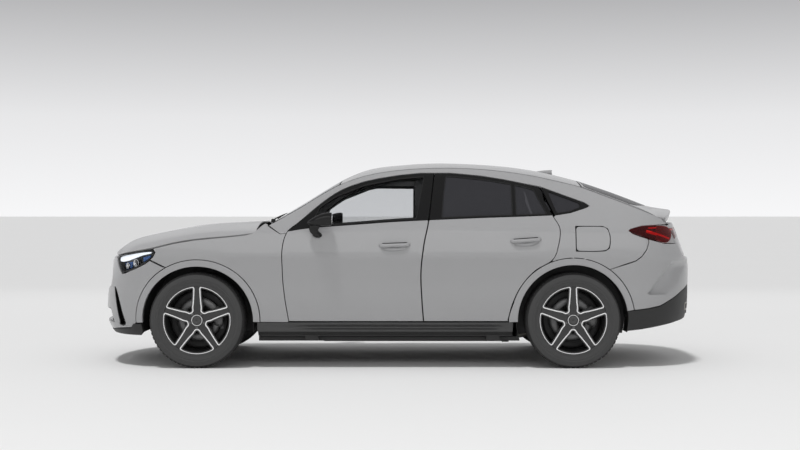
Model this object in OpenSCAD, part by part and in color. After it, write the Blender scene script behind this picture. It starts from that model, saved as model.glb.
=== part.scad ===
// Sport utility vehicle with five doors and a sloping rear.
// Front towards -X, left side towards -Y, ground at Z = 0, millimetres.

/* [Body] */
// Overall length of the body
body_l = 4763; // [4500:1:5000]
// Overall width of the body without the mirrors
body_w = 1890; // [1800:1:1980]
// Overall height above the ground
body_h = 1600; // [1540:1:1660]
// Gap along the edges of doors and lids
shut_gap = 9; // [8:0.5:11]
// Thickness of the side frames
frame_t = 60; // [50:1:70]
// Thickness of the roof panel
roof_t = 30; // [20:1:36]
// Thickness of the bonnet
bonnet_t = 26; // [18:1:32]
// Thickness of fender skins and door flanges
skin_t = 5; // [4:0.5:7]
// Thickness of the bumpers and the lamps
bumper_t = 60; // [45:1:75]
// Radius of the towing eye hole
tow_r = 10; // [8:0.5:14]
// Thickness of the doors below the windows
door_t = 105; // [90:1:112]
// Thickness of the window frames
sash_t = 40; // [30:1:46]
// Thickness of the fixed and moving glass
glass_t = 6; // [4:0.5:8]
// Depth of the glass below the outer skin
glass_inset = 12; // [8:1:16]

/* [Hinges] */
// Radius of the hinge pins of doors and lids
pin_r = 7; // [6:0.5:8]
// Radial clearance of the hinge pins
pin_clear = 0.08; // [0.04:0.01:0.1]
// Radius of the hinge eyes
eye_r = 13; // [12:0.5:14]
// Height of one door hinge
hinge_h = 50; // [40:1:60]
// Radius of the pin of the fuel flap
flap_pin_r = 3; // [2.5:0.5:3.5]

/* [Wheels] */
// Outer diameter of the tyres
tyre_d = 734; // [700:1:750]
// Width of the tyres
tyre_w = 250; // [225:1:255]
// Diameter of the rim flanges
rim_d = 540; // [510:1:550]
// Distance from centre to wheel at the front
track_f = 805; // [795:1:810]
// Distance from centre to wheel at the rear
track_r = 808; // [798:1:812]
// Radial space between tyre and wheel arch
arch_clear = 58; // [50:1:66]
// Radius of the wheel spindles
spindle_r = 28; // [24:1:32]
// Radial clearance of the wheel bearings
bearing_clear = 0.08; // [0.04:0.01:0.1]
// Radius of the brake discs
disc_r = 172; // [160:1:180]
// Number of wheel spokes
spokes = 5; // [5:1:7]
// Radius of the steering pivots
pivot_r = 12; // [10:0.5:14]

/* [Cabin] */
// Width of one front seat
seat_w = 510; // [460:1:530]
// Length of a seat cushion
seat_l = 500; // [450:1:530]
// Diameter of the steering wheel
steer_d = 370; // [340:1:390]
// Thickness of the steering wheel rim
steer_rim = 30; // [24:1:34]

/* [Drive] */
// Length of the engine block
engine_l = 620; // [500:1:680]
// Width of the engine block
engine_w = 520; // [420:1:600]
// Height of the engine block
engine_h = 560; // [480:1:600]
// Outer radius of the exhaust pipes
pipe_r = 32; // [26:1:38]

/* [Hidden] */
$fn = 48;
sx = body_l / 4763;
sy = body_w / 1890;
sz = body_h / 1600;
axle_f = -1525.5;
axle_r = 1362.5;
wheel_r = tyre_d / 2;
wheel_z = wheel_r;
arch_r = wheel_r + arch_clear;
corner_f = -1780;
corner_r = 1640;
corner_n = 2.7;
belt_z = 1068;
hinge_fx = -785;
hinge_rx = 269;
hinge_y = 890;
post_y = 775;
hinge_zs = [520, 900];

// Shape tables of the body, nominal millimetres
section_tab = [[180, 800], [230, 850], [300, 884], [365, 900], [500, 914], [650, 922], [780, 934],
    [860, 940], [930, 934], [1020, 916], [1090, 896], [1160, 868], [1250, 822], [1350, 764],
    [1450, 700], [1520, 652], [1580, 606]];
plan_tab = [[-1780, 0.97], [-1525, 0.988], [-1100, 0.996], [-600, 0.999], [0, 1], [800, 1],
    [1200, 0.999], [1500, 0.99], [1640, 0.98]];
plan_top_tab = [[-1100, 0.885], [-900, 0.92], [-600, 0.965], [-200, 0.995], [200, 1], [700, 0.985],
    [1100, 0.95], [1500, 0.89], [1640, 0.865]];
nose_tab = [[180, -2270], [232, -2310], [300, -2360], [380, -2381], [500, -2372], [691, -2335],
    [790, -2312], [854, -2291], [960, -2230]];
tail_tab = [[240, 2310], [297, 2335], [437, 2371], [640, 2378], [820, 2374], [900, 2352], [1037, 2310],
    [1133, 2276], [1219, 2250]];
top_tab = [[-2300, 846], [-2193, 932], [-2112, 980], [-2018, 1011], [-1905, 1036], [-1550, 1100],
    [-1200, 1124], [-1033, 1132]];
roof_tab = [[-980, 1130], [-749, 1269], [-430, 1462], [-217, 1548], [33, 1583], [366, 1600],
    [866, 1575], [1200, 1525], [1450, 1464]];
edge_tab = [[-980, 1092], [-749, 1224], [-593, 1322], [-430, 1413], [-217, 1485], [33, 1526], [366, 1543],
    [700, 1531], [1030, 1489], [1330, 1424], [1450, 1392], [1600, 1336], [1800, 1258], [1950, 1198],
    [2080, 1146], [2160, 1110]];
glass_xs = [-980, -900, -820, -749, -670, -593, -510, -430];
roof_xs = [-430, -330, -217, -90, 33, 200, 366, 540, 700, 866, 1030, 1200, 1330, 1450];

// Outlines seen from the side, x and z
front_lead = [[361, -818], [500, -842], [650, -860], [736, -865], [926, -865], [1051, -826], [1110, -752],
    [1339, -470], [1434, -244], [1485, 30], [1503, 215]];
front_trail = [[361, 209], [500, 198], [736, 189], [950, 212], [1119, 247], [1330, 275], [1503, 298]];
rear_lead = [[361, 209], [500, 198], [736, 189], [950, 212], [1119, 247], [1330, 275], [1503, 298]];
rear_trail = [[361, 858], [384, 862], [500, 895], [627, 957], [751, 1066], [830, 1195], [930, 1240],
    [1071, 1258], [1165, 1212], [1290, 1150], [1385, 1117], [1420, 990], [1477, 676], [1503, 400]];
lamp_f = [[-1866, 880], [-1910, 905], [-2020, 892], [-2140, 864], [-2240, 828], [-2215, 770], [-2174, 716],
    [-2080, 748], [-1960, 810]];
lamp_r = [[1800, 1055], [1900, 1082], [2030, 1094], [2150, 1096], [2400, 1090], [2400, 958], [2205, 957],
    [2060, 985], [1943, 1010]];
quarter_glass = [[1246, 1190], [1350, 1206], [1430, 1238], [1424, 1268], [1330, 1304], [1184, 1360]];
flap_outline = [[1388, 940], [1396, 912], [1422, 903], [1600, 905], [1630, 913], [1638, 940], [1636, 1050],
    [1626, 1076], [1598, 1083], [1424, 1081], [1396, 1072], [1388, 1044]];

function fx(v) = v * sx;
function fy(v) = v * sy;
function fz(v) = v * sz;
function mix(a, b, t) = a + (b - a) * t;
function limit(v, a, b) = min(max(v, a), b);
function place(t, x, i = 0) = (i >= len(t) - 2 || x < t[i + 1][0]) ? i : place(t, x, i + 1);
function rise(t, i) =
    let (a = max(i - 1, 0), b = min(i + 1, len(t) - 1))
    (t[b][1] - t[a][1]) / (t[b][0] - t[a][0]);
// Smooth curve through the rows of a table
function curve(t, x) =
    let (i = place(t, x), h = t[i + 1][0] - t[i][0], u = (limit(x, t[0][0], t[len(t) - 1][0]) - t[i][0]) / h)
    let (a = rise(t, i) * h, b = rise(t, i + 1) * h, p = t[i][1], q = t[i + 1][1])
    ((2 * p - 2 * q + a + b) * u + (3 * q - 3 * p - 2 * a - b)) * u * u + a * u + p;

// Half width of the body without its rounded corners
function flank(x, z) =
    let (xx = limit(x, corner_f, corner_r), t = limit((z - 1040) / 400, 0, 1))
    curve(section_tab, z) * mix(curve(plan_tab, xx), curve(plan_top_tab, xx), t);
function corner(v) = pow(max(1 - pow(limit(v, 0, 1), corner_n), 0), 1 / corner_n);
// Half width of the body at any place
function half(x, z) = flank(x, z)
    * (x < corner_f ? corner((corner_f - x) / (corner_f - curve(nose_tab, z))) : 1)
    * (x > corner_r ? corner((x - corner_r) / (curve(tail_tab, z) - corner_r)) : 1);

function steps(a, b, n) = [for (i = [0 : n]) mix(a, b, i / n)];

// Closed skin between an outer and an inner grid of points
module skin(a, b) {
    n = len(a);
    m = len(a[0]);
    o = n * m;
    top = [for (i = [0 : n - 2]) for (j = [0 : m - 2]) each [
        [i * m + j, (i + 1) * m + j + 1, i * m + j + 1], [i * m + j, (i + 1) * m + j, (i + 1) * m + j + 1]]];
    low = [for (f = top) [f[0] + o, f[2] + o, f[1] + o]];
    ends = [for (j = [0 : m - 2]) each [
        [j, j + 1, j + 1 + o], [j, j + 1 + o, j + o],
        [o - m + j, 2 * o - m + j, 2 * o - m + j + 1], [o - m + j, 2 * o - m + j + 1, o - m + j + 1]]];
    sides = [for (i = [0 : n - 2]) let (p = i * m, q = p + m) each [
        [p, p + o, q + o], [p, q + o, q],
        [p + m - 1, q + m - 1, q + m - 1 + o], [p + m - 1, q + m - 1 + o, p + m - 1 + o]]];
    polyhedron([each [for (r = a) each r], each [for (r = b) each r]], [each top, each low, each ends, each sides]);
}

// Skin on the right flank over a rectangle seen from the side
module flank_skin(xs, zs, inset, thick) {
    skin([for (x = xs) [for (z = zs) [fx(x), fy(half(x, z)) - inset, fz(z)]]],
        [for (x = xs) [for (z = zs) [fx(x), fy(half(x, z)) - inset - thick, fz(z)]]]);
}

function wrap_point(end, side, a, z, inset) =
    let (s = abs(sin(a)), c = abs(cos(a)), b = fy(flank(side, z)) - inset, l = abs(fx(end - side)) - inset)
    [fx(side) + sign(end) * l * pow(c, 2 / corner_n), sign(a) * b * pow(s, 2 / corner_n), fz(z)];
function wrap_angles(n) = [for (i = [0 : n]) mix(-90, 90, i / n)];
module front_skin(zs, inset, thick, n = 24) {
    skin([for (a = wrap_angles(n)) [for (z = zs) wrap_point(curve(nose_tab, z), corner_f, a, z, inset)]],
        [for (a = wrap_angles(n)) [for (z = zs) wrap_point(curve(nose_tab, z), corner_f, a, z, inset + thick)]]);
}
module rear_skin(zs, inset, thick, n = 24) {
    skin([for (a = wrap_angles(n)) [for (z = zs) wrap_point(curve(tail_tab, z), corner_r, -a, z, inset)]],
        [for (a = wrap_angles(n)) [for (z = zs) wrap_point(curve(tail_tab, z), corner_r, -a, z, inset + thick)]]);
}

module box(x0, x1, y0, y1, z0, z1) {
    translate([fx(x0), fy(y0), fz(z0)]) cube([fx(x1 - x0), fy(y1 - y0), fz(z1 - z0)]);
}
module both() {
    children();
    mirror([0, 1, 0]) children();
}
// Outline seen from the side, pushed across
module across(outline, y0, y1, grow = 0) {
    translate([0, y1, 0]) rotate([90, 0, 0]) linear_extrude(y1 - y0) offset(delta = grow)
        polygon([for (p = outline) [fx(p[0]), fz(p[1])]]);
}
// Outline seen from the front, pushed along
module along(outline, x0, x1, grow = 0) {
    translate([x0, 0, 0]) rotate([90, 0, 90]) linear_extrude(x1 - x0) offset(delta = grow)
        polygon([for (p = outline) [fy(p[0]), fz(p[1])]]);
}
module rod(p, r, h, dir = [0, 0, 0]) {
    translate(p) rotate(dir) cylinder(r = r, h = h);
}

// Doors
door_us = [0, 0.03, 0.1, 0.2, 0.33, 0.46, 0.6, 0.73, 0.83, 0.895, 0.955, 1];
door_zs = [361, 500, 627, 736, 830, 926, 1000, 1040, 1090, 1165, 1250, 1339, 1385, 1434, 1477, 1503];
function door_outline(lead, trail) = concat(
    [for (z = door_zs) [curve(lead, z), z]],
    [for (i = [len(door_zs) - 1 : -1 : 0]) [curve(trail, door_zs[i]), door_zs[i]]]);
front_outline = door_outline(front_lead, front_trail);
rear_outline = door_outline([for (p = rear_lead) [p[0], p[1] + shut_gap / sx]], rear_trail);
function door_depth(d, z) = z > 1060 ? sash_t
    : d < 50 ? skin_t : d < 112 ? mix(skin_t, door_t, (d - 50) / 62) : door_t;
module door_skin(lead, trail, shift) {
    rows = [for (u = door_us) [for (z = door_zs)
        let (f = curve(lead, z) + shift, r = curve(trail, z)) [mix(f, r, u), z, (1 - u) * (r - f)]]];
    skin([for (c = rows) [for (p = c) [fx(p[0]), fy(half(p[0], p[1])), fz(p[1])]]],
        [for (c = rows) [for (p = c)
            [fx(p[0]), fy(half(p[0], p[1])) - door_depth(p[2], p[1]), fz(p[1])]]]);
}
front_window = [[-662, 1086], [31, 1138], [161, 1145], [196, 1330], [226, 1480], [30, 1464], [-236, 1413],
    [-462, 1324], [-588, 1240]];
rear_window_a = [[350, 1153], [620, 1164], [905, 1172], [905, 1420], [676, 1457], [480, 1478], [387, 1483],
    [366, 1330]];
rear_window_b = [[925, 1173], [1172, 1182], [1118, 1290], [1080, 1374], [990, 1400], [925, 1416]];
module window_hole(outline) {
    across(outline, 300, 1100);
}
module hinge_pocket(x) {
    for (z = hinge_zs)
        translate([fx(x) - 110, fy(hinge_y) - 110, fz(z) - hinge_h / 2 - 6]) cube([128, 127, hinge_h + 12]);
}
module hinge_pins(x) {
    for (z = hinge_zs) rod([fx(x), fy(hinge_y), fz(z) - hinge_h / 2 - 12], pin_r, hinge_h + 24);
}
// Fixed half of the door hinges, from a post to the pins
module hinge_arms(x) {
    for (z = hinge_zs) difference() {
        union() {
            rod([fx(x), fy(hinge_y), fz(z) - hinge_h / 2], eye_r, hinge_h);
            translate([fx(x) - 9, fy(post_y) - 1, fz(z) - hinge_h / 2])
                cube([18, fy(hinge_y) - fy(post_y) + 1, hinge_h]);
        }
        rod([fx(x), fy(hinge_y), fz(z) - hinge_h], pin_r + pin_clear, 2 * hinge_h);
    }
}
module front_door() {
    difference() {
        door_skin(front_lead, front_trail, 0);
        window_hole(front_window);
        hinge_pocket(hinge_fx);
        mirror_foot(0.2);
    }
    hinge_pins(hinge_fx);
    handle(-122, 107, 924, 948);
}
module rear_door() {
    difference() {
        door_skin(rear_lead, rear_trail, shut_gap / sx);
        window_hole(rear_window_a);
        window_hole(rear_window_b);
        hinge_pocket(hinge_rx);
    }
    hinge_pins(hinge_rx);
    handle(879, 1113, 962, 986);
}
// Bar of a door handle on its two feet
module handle(x0, x1, z0, z1) {
    flank_skin(steps(x0, x1, 4), [z0, z1], -24, 12);
    for (x = [x0 + 12, x1 - 42]) flank_skin([x, x + 30], [z0 + 3, z1 - 3], -14, 18);
}
module front_glass() {
    intersection() {
        flank_skin(steps(-780, 280, 8), steps(1080, 1482, 6), glass_inset, glass_t);
        window_hole(front_window);
    }
}
module rear_glass() {
    for (w = [rear_window_a, rear_window_b]) intersection() {
        flank_skin(steps(w[0][0] - 10, w[1][0] + 300, 6), steps(1150, 1486, 6), glass_inset, glass_t);
        window_hole(w);
    }
}
module door_front_left() color("silver") mirror([0, 1, 0]) front_door();
module door_front_right() color("silver") front_door();
module door_rear_left() color("silver") mirror([0, 1, 0]) rear_door();
module door_rear_right() color("silver") rear_door();
module glass_front_left() color("lightblue") mirror([0, 1, 0]) front_glass();
module glass_front_right() color("lightblue") front_glass();
module glass_rear_left() color("dimgray") mirror([0, 1, 0]) rear_glass();
module glass_rear_right() color("dimgray") rear_glass();

// Side frames: windscreen pillar, roof rail, centre pillar and rear quarter
frame_outline = concat(
    [for (x = glass_xs) [x, curve(edge_tab, x)]],
    [for (x = roof_xs) if (x > -430) [x, curve(edge_tab, x)]],
    [for (x = [1600, 1700, 1800, 1950, 2080]) [x, curve(edge_tab, x)]], [[2150, 1096], [2030, 1094], [1900, 1082],
    [1800, 1055], [1943, 1010], [1943, 960], [1863, 827], [1640, 769], [1362, 500], [900, 352], [820, 352],
    [800, 500], [850, 700], [1000, 850], [1150, 1000], [1100, 1200], [600, 1400], [300, 1440], [0, 1420],
    [-300, 1340], [-600, 1150], [-845, 1030], [-880, 1030]]);
module wheel_opening(x, grow = 0) {
    rod([fx(x), 1200, wheel_z], arch_r + grow, 2400, [90, 0, 0]);
}
module side_frame() {
    difference() {
        intersection() {
            flank_skin([each steps(-980, 1450, 24), each steps(1540, 2160, 7)],
                [352, 450, 560, 660, 760, 860, 960, 1060, 1130, 1200, 1280, 1360, 1440, 1500, 1550],
                0, frame_t);
            across(frame_outline, 200, 1100);
        }
        across(front_outline, 200, 1100, shut_gap);
        across(rear_outline, 200, 1100, shut_gap);
        across(quarter_glass, 200, 1100);
        along(gate_outline, fx(2080), fx(2600), shut_gap);
        wheel_opening(axle_r);
    }
    centre_pillar();
}
module centre_pillar() {
    zs = [345, 700, 1060, 1150, 1240, 1330, 1420, 1500];
    depth = sash_t + 10;
    skin([for (x = [150, 225, 300]) [for (z = zs) [fx(x), min(fy(post_y), fy(half(x, z)) - depth), fz(z)]]],
        [for (x = [150, 225, 300]) [for (z = zs)
            [fx(x), min(fy(post_y), fy(half(x, z)) - depth) - 60, fz(z)]]]);
    hinge_arms(hinge_rx);
}
flap_y = half(1512, 1000);
flap_tilt = atan2(fy(half(1400, 910) - half(1400, 1076)), fz(166));
module flap_frame() {
    translate([fx(1400), fy(half(1400, 993)) - 15, fz(993)]) rotate([flap_tilt, 0, 0]) children();
}
module flap_recess() {
    intersection() {
        flank_skin(steps(1360, 1670, 4), steps(880, 1110, 4), -20, 68);
        across(flap_outline, 200, 1100, shut_gap);
    }
}
module side_frame_left() color("silver") mirror([0, 1, 0]) {
    difference() {
        side_frame();
        flap_recess();
    }
    flap_frame() translate([0, 0, -80]) cylinder(r = flap_pin_r, h = 160);
    for (s = [-1, 1]) flap_frame() translate([-1, -46, s * 74 - 6]) cube([7, 48, 12]);
}
module side_frame_right() color("silver") side_frame();
module fuel_flap() color("silver") mirror([0, 1, 0]) {
    intersection() {
        flank_skin(steps(1370, 1660, 4), steps(890, 1100, 4), 0, skin_t);
        across(flap_outline, 200, 1100);
    }
    difference() {
        union() {
            flap_frame() translate([0, 0, -40]) cylinder(r = 6, h = 80);
            flap_frame() translate([-3, 0, -40]) cube([6, 12.5, 80]);
        }
        flap_frame() translate([0, 0, -60]) cylinder(r = flap_pin_r + pin_clear, h = 120);
    }
}

// Roof, windscreen and quarter windows
roof_vs = [-1, -0.9, -0.75, -0.5, -0.25, 0, 0.25, 0.5, 0.75, 0.9, 1];
function arch_over(v) = 1 - pow(min(abs(v) / 0.9, 1), 2.2);
module top_skin(xs, thick) {
    skin([for (v = roof_vs) [for (x = xs) let (e = curve(edge_tab, x), lift = curve(roof_tab, x) - e)
            [fx(x), v * (fy(half(x, e)) - thick / 2), fz(e + (lift - 22) * arch_over(v)) + thick]]],
        [for (v = roof_vs) [for (x = xs) let (e = curve(edge_tab, x), lift = curve(roof_tab, x) - e)
            [fx(x), v * fy(half(x, e)), fz(e + (lift - 22) * arch_over(v))]]]);
}
module roof_panel() color("silver") {
    top_skin(roof_xs, roof_t);
    box(1384, 1446, -400, 400, 1414, 1440);
    gate_hinges();
}
module fixed_glass() color("lightblue") {
    top_skin(glass_xs, glass_t);
    both() intersection() {
        flank_skin(steps(1170, 1500, 4), steps(1175, 1375, 4), glass_inset, glass_t);
        across(quarter_glass, 200, 1100);
    }
}

// Front end
fender_outline = [[-1914, 830], [-1775, 792], [-1640, 700], [-1525, 500], [-1090, 352], [-800, 352],
    [-800, 700], [-845, 1030], [-880, 1030], [-980, 1092], [-1061, 1041], [-1254, 1018], [-1550, 980],
    [-1818, 935], [-1910, 905], [-1866, 880], [-1960, 810]];
module fender() {
    difference() {
        intersection() {
            flank_skin(steps(-1970, -800, 15), [352, 450, 560, 660, 760, 830, 890, 950, 1000, 1050, 1100],
                0, skin_t);
            across(fender_outline, 200, 1100);
        }
        across(front_outline, 200, 1100, shut_gap);
        wheel_opening(axle_f);
    }
}
module fender_left() color("silver") mirror([0, 1, 0]) fender();
module fender_right() color("silver") fender();

front_side = [[-2500, 300], [-1780, 300], [-1780, 792], [-1914, 830], [-1960, 810], [-2080, 748],
    [-2174, 716], [-2215, 770], [-2240, 828], [-2500, 828]];
upper_grille = [[-470, 800], [470, 800], [560, 690], [500, 585], [-500, 585], [-560, 690]];
lower_grille = [[-560, 440], [560, 440], [620, 330], [-620, 330]];
module front_bumper() color("silver") {
    difference() {
        intersection() {
            front_skin([300, 380, 470, 560, 640, 720, 780, 838], 0, bumper_t);
            union() {
                across(front_side, -1200, 0);
                across(front_side, 0, 1200);
            }
        }
        along(upper_grille, fx(-2600), fx(-2000));
        along(lower_grille, fx(-2600), fx(-2000));
        wheel_opening(axle_f);
        tow_hole();
    }
    difference() {
        both() box(-2300, -2240, 330, 430, 440, 540);
        tow_hole();
    }
}
module tow_hole() {
    rod([fx(-2240) + 1, fy(380), fz(490)], tow_r, 200, [0, -90, 0]);
}
module front_grille() color("dimgray") difference() {
    union() {
        intersection() {
            front_skin([580, 640, 720, 805], 22, 20);
            along(upper_grille, fx(-2600), fx(-2000));
        }
        intersection() {
            front_skin([320, 380, 450], 22, 20);
            along(lower_grille, fx(-2600), fx(-2000));
        }
    }
    for (z = [607 : 34 : 760], y = [-420, 20]) box(-2600, -2100, y, y + 400, z, z + 18);
    for (z = [352 : 34 : 400], y = [-520, 20]) box(-2600, -2100, y, y + 500, z, z + 18);
}
module headlamps() color("white") both() intersection() {
    front_skin([700, 760, 830, 870, 910], 0, bumper_t, 32);
    across(lamp_f, 200, 1100);
}

// Bonnet
bonnet_vs = [-1, -0.85, -0.65, -0.42, -0.2, 0, 0.2, 0.42, 0.65, 0.85, 1];
bonnet_edge = [[-2236, 852], [-2100, 890], [-1980, 914], [-1860, 934], [-1700, 958], [-1550, 982],
    [-1400, 1001], [-1254, 1020], [-1120, 1035], [-1075, 1040]];
bonnet_mid = [-2282, -2210, -2120, -2010, -1860, -1700, -1540, -1370, -1200, -1075];
function bonnet_point(i, v, drop) =
    let (e = bonnet_edge[i], g = (shut_gap + skin_t) / sy, x = mix(bonnet_mid[i], e[0], v * v))
    let (w = half(e[0], e[1]) - g, z = mix(curve(top_tab, x), e[1], pow(abs(v), 2.6)))
    [fx(x) + (i == 0 ? shut_gap : 0), fy(v * w), fz(z) - (i < 1 || abs(v) == 1 ? min(drop, 6) : drop)];
bonnet_axis = [-1045, 1035];
module bonnet() color("silver") {
    skin([for (v = bonnet_vs) [for (i = [0 : len(bonnet_mid) - 1]) bonnet_point(i, v, 0)]],
        [for (v = bonnet_vs) [for (i = [0 : len(bonnet_mid) - 1]) bonnet_point(i, v, bonnet_t)]]);
    both() difference() {
        union() {
            rod([fx(bonnet_axis[0]), fy(684), fz(bonnet_axis[1])], eye_r, 40, [90, 0, 0]);
            translate([fx(bonnet_axis[0]) - 60, fy(684) - 40, fz(bonnet_axis[1]) - 6]) cube([60, 40, 12]);
            translate([fx(bonnet_axis[0]) - 72, fy(684) - 40, fz(bonnet_axis[1]) - 6]) cube([14, 40, 40]);
        }
        rod([fx(bonnet_axis[0]), fy(704), fz(bonnet_axis[1])], pin_r + pin_clear, 90, [90, 0, 0]);
    }
}
module cowl_wipers() color("dimgray") {
    difference() {
        box(-1040, -962, -690, 690, 1010, 1072);
        box(-1060, -1010, -800, 800, 1000, 1090);
    }
    for (y = [-430, 180]) translate([fx(-985), fy(y), fz(1060)]) {
        cylinder(r = 14, h = 40);
        translate([-8, 0, 26]) cube([16, 480, 12]);
    }
}

// Rear end
rear_side = [[1640, 769], [1863, 827], [1943, 960], [1943, 1010], [2060, 985], [2205, 957], [2500, 957],
    [2500, 640], [2340, 636], [2045, 477], [1780, 431], [1640, 431]];
diffuser_side = [[1640, 275], [1793, 282], [2206, 364], [2330, 384], [2500, 392], [2500, 640], [2340, 636], [2045, 477], [1780, 431], [1640, 431]];
gate_outline = [[-600, 850], [600, 850], [655, 960], [668, 1060], [668, 1300], [-668, 1300], [-668, 1060],
    [-655, 960]];
module rear_bumper() color("silver") {
    difference() {
        intersection() {
            rear_skin([431, 500, 570, 640, 730, 820, 890, 960, 1012], 0, bumper_t);
            across(rear_side, -1200, 1200);
        }
        along(gate_outline, fx(2000), fx(2600), shut_gap);
        wheel_opening(axle_r);
    }
    both() box(2240, 2325, 330, 430, 645, 705);
}
module lower_cladding() color("dimgray") {
    difference() {
        intersection() {
            rear_skin([275, 330, 400, 480, 560, 641], 0, bumper_t);
            across(diffuser_side, -1200, 1200);
        }
        wheel_opening(axle_r);
    }
    difference() {
        intersection() {
            front_skin([235, 268, 300], 0, bumper_t);
            translate([fx(-2500), fy(-1200), 0]) cube([fx(510), fy(2400), fz(400)]);
        }
        wheel_opening(axle_f);
    }
    both() skin(
        [for (x = steps(-1070, 905, 12)) [for (z = [242, 300, 352]) [fx(x), fy(half(x, z)), fz(z)]]],
        [for (x = steps(-1070, 905, 12)) [for (z = [242, 300, 352]) [fx(x), fy(840), fz(z)]]]);
}
module tail_lamps() color("darkred") both() difference() {
    intersection() {
        rear_skin([950, 1000, 1050, 1100], 0, bumper_t, 32);
        across(lamp_r, 200, 1100);
    }
    along(gate_outline, fx(2000), fx(2600), shut_gap);
}

gate_vs = [-1, -0.85, -0.6, -0.3, 0, 0.3, 0.6, 0.85, 1];
gate_axis = [1501, 1434];
// Upper rows of the tailgate: x, z in the middle, z at the sides, half width
function gate_side(x) = [curve(edge_tab, x) + shut_gap / sz + 14, half(x, curve(edge_tab, x)) - 4];
gate_top = [for (p = [[1464, 1460], [1600, 1416], [1750, 1364], [1900, 1308], [2044, 1256]])
    [p[0], p[1], each gate_side(p[0])]];
spoiler = [[2160, 1236, 1160, 690], [2267, 1217, 1156, 668], [2276, 1140, 1112, 664]];
gate_rows = concat(gate_top, spoiler);
gate_depth = [28, 30, 30, 32, 34, 40, 38, 12];
gate_back = [0, 0, 0, 0, 14, 30, 62, 66];
gate_low = [[1110, 660], [1050, 656], [960, 644], [900, 616], [850, 594]];
function tail_x(y, z) = corner_r + (curve(tail_tab, z) - corner_r) * corner(abs(y) / flank(corner_r, z));
function gate_z(p, v) = mix(p[1], p[2], pow(abs(v), 2.2));
function gate_bow(p, v) = p[0] > 2200 ? 80 * v * v : 0;
function gate_column(v, inner) = concat(
    [for (i = [0 : len(gate_rows) - 1]) let (p = gate_rows[i])
        [fx(p[0] - gate_bow(p, v) - inner * gate_back[i]), fy(v * p[3]),
        fz(gate_z(p, v)) - inner * mix(gate_depth[i], 12, v * v)]],
    [for (p = gate_low) [fx(tail_x(v * p[1], p[0]) - 14) - inner * 40, fy(v * p[1]),
        fz(p[0] - (p[0] > 1100 ? 24 * v * v : 0))]]);
module tailgate() color("silver") {
    difference() {
        skin([for (v = gate_vs) gate_column(v, 0)], [for (v = gate_vs) gate_column(v, 1)]);
        rear_window_hole();
        for (s = [-1, 1]) translate([fx(gate_axis[0]) - 60, s * fy(250) - 33, fz(gate_axis[1]) - 60])
            cube([80, 66, 90]);
    }
    for (s = [-1, 1]) rod([fx(gate_axis[0]), s * fy(250) + 42, fz(gate_axis[1])], pin_r - 1, 84, [90, 0, 0]);
}
module rear_window_hole() {
    translate([0, 0, fz(1000)]) linear_extrude(600) polygon([
        [fx(1560), fy(-480)], [fx(2000), fy(-535)], [fx(2030), fy(-300)], [fx(2038), 0], [fx(2030), fy(300)],
        [fx(2000), fy(535)], [fx(1560), fy(480)], [fx(1545), fy(240)], [fx(1540), 0], [fx(1545), fy(-240)]]);
}
function pane_point(i, v, drop) = let (p = gate_top[i]) [fx(p[0]), fy(v * p[3]), fz(gate_z(p, v)) - drop];
module rear_window() color("dimgray") intersection() {
    skin([for (v = gate_vs) [for (i = [0 : 4]) pane_point(i, v, 8)]],
        [for (v = gate_vs) [for (i = [0 : 4]) pane_point(i, v, 8 + glass_t)]]);
    rear_window_hole();
}

// Structure
module wheelhouse(x, y0, y1) {
    difference() {
        intersection() {
            rod([fx(x), y1, wheel_z], arch_r + 14, y1 - y0, [90, 0, 0]);
            translate([fx(x) - 600, y0, fz(400)]) cube([1200, y1 - y0, 600]);
        }
        rod([fx(x), y1 + 1, wheel_z], arch_r + 6, y1 - y0 + 2, [90, 0, 0]);
    }
}
rear_floor = wheel_z + 33;
house_y = track_r - tyre_w / 2 - 38;
module floor_pan() color("gray") {
    difference() {
        union() {
            box(-1040, 960, -780, 780, 200, 232);
            both() box(-1040, 900, 775, 840, 242, 345);
            both() for (x = [-700, 700]) box(x, x + 100, 785, 835, 205, 243);
            box(-1040, 515, -100, 100, 230, 330);
            translate([fx(940), fy(-780), fz(230)]) cube([fx(20), fy(1560), rear_floor + 20 - fz(230)]);
            translate([fx(940), -house_y, rear_floor]) cube([fx(890), 2 * house_y, 32]);
            translate([fx(1820), fy(-520), rear_floor]) cube([fx(380), fy(1040), 32]);
        }
        both() rod([fx(axle_r), fy(841), wheel_z], arch_r + 6, fy(841) - house_y, [90, 0, 0]);
    }
    both() {
        translate([fx(2200), fy(330), rear_floor]) cube([fx(40), fy(100), fz(705) - rear_floor]);
        wheelhouse(axle_r, house_y - 4, fy(800));
    }
}
// Wall between engine and cabin, with the posts, the rails and the front wheelhouses
module bulkhead() color("gray") {
    box(-1062, -1040, -775, 775, 200, 1010);
    box(-1062, -1000, -690, 690, 980, 1010);
    both() {
        box(-2240, -1040, 330, 420, 440, 540);
        box(-960, -760, 690, 775, 232, 1040);
        box(-1040, -960, 690, 775, 960, 1040);
        box(-1041, -959, 690, 775, 420, 500);
        hinge_arms(hinge_fx);
        rod([fx(bonnet_axis[0]), fy(775), fz(bonnet_axis[1])], pin_r, fy(775) - fy(684) + 60, [90, 0, 0]);
        wheelhouse(axle_f, track_f - 385, fy(800));
    }
}
module gate_hinges() {
    for (s = [-1, 1]) difference() {
        union() {
            rod([fx(gate_axis[0]), s * fy(250) + 25, fz(gate_axis[1])], eye_r - 3, 50, [90, 0, 0]);
            translate([fx(1446) - 8, s * fy(250) - 25, fz(1416)]) cube([fx(gate_axis[0] - 1446) + 8, 50, 10]);
            translate([fx(gate_axis[0]) - 8, s * fy(250) - 25, fz(1416)]) cube([16, 50, fz(16)]);
        }
        rod([fx(gate_axis[0]), s * fy(250) + 40, fz(gate_axis[1])], pin_r - 1 + pin_clear, 80, [90, 0, 0]);
    }
}

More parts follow.
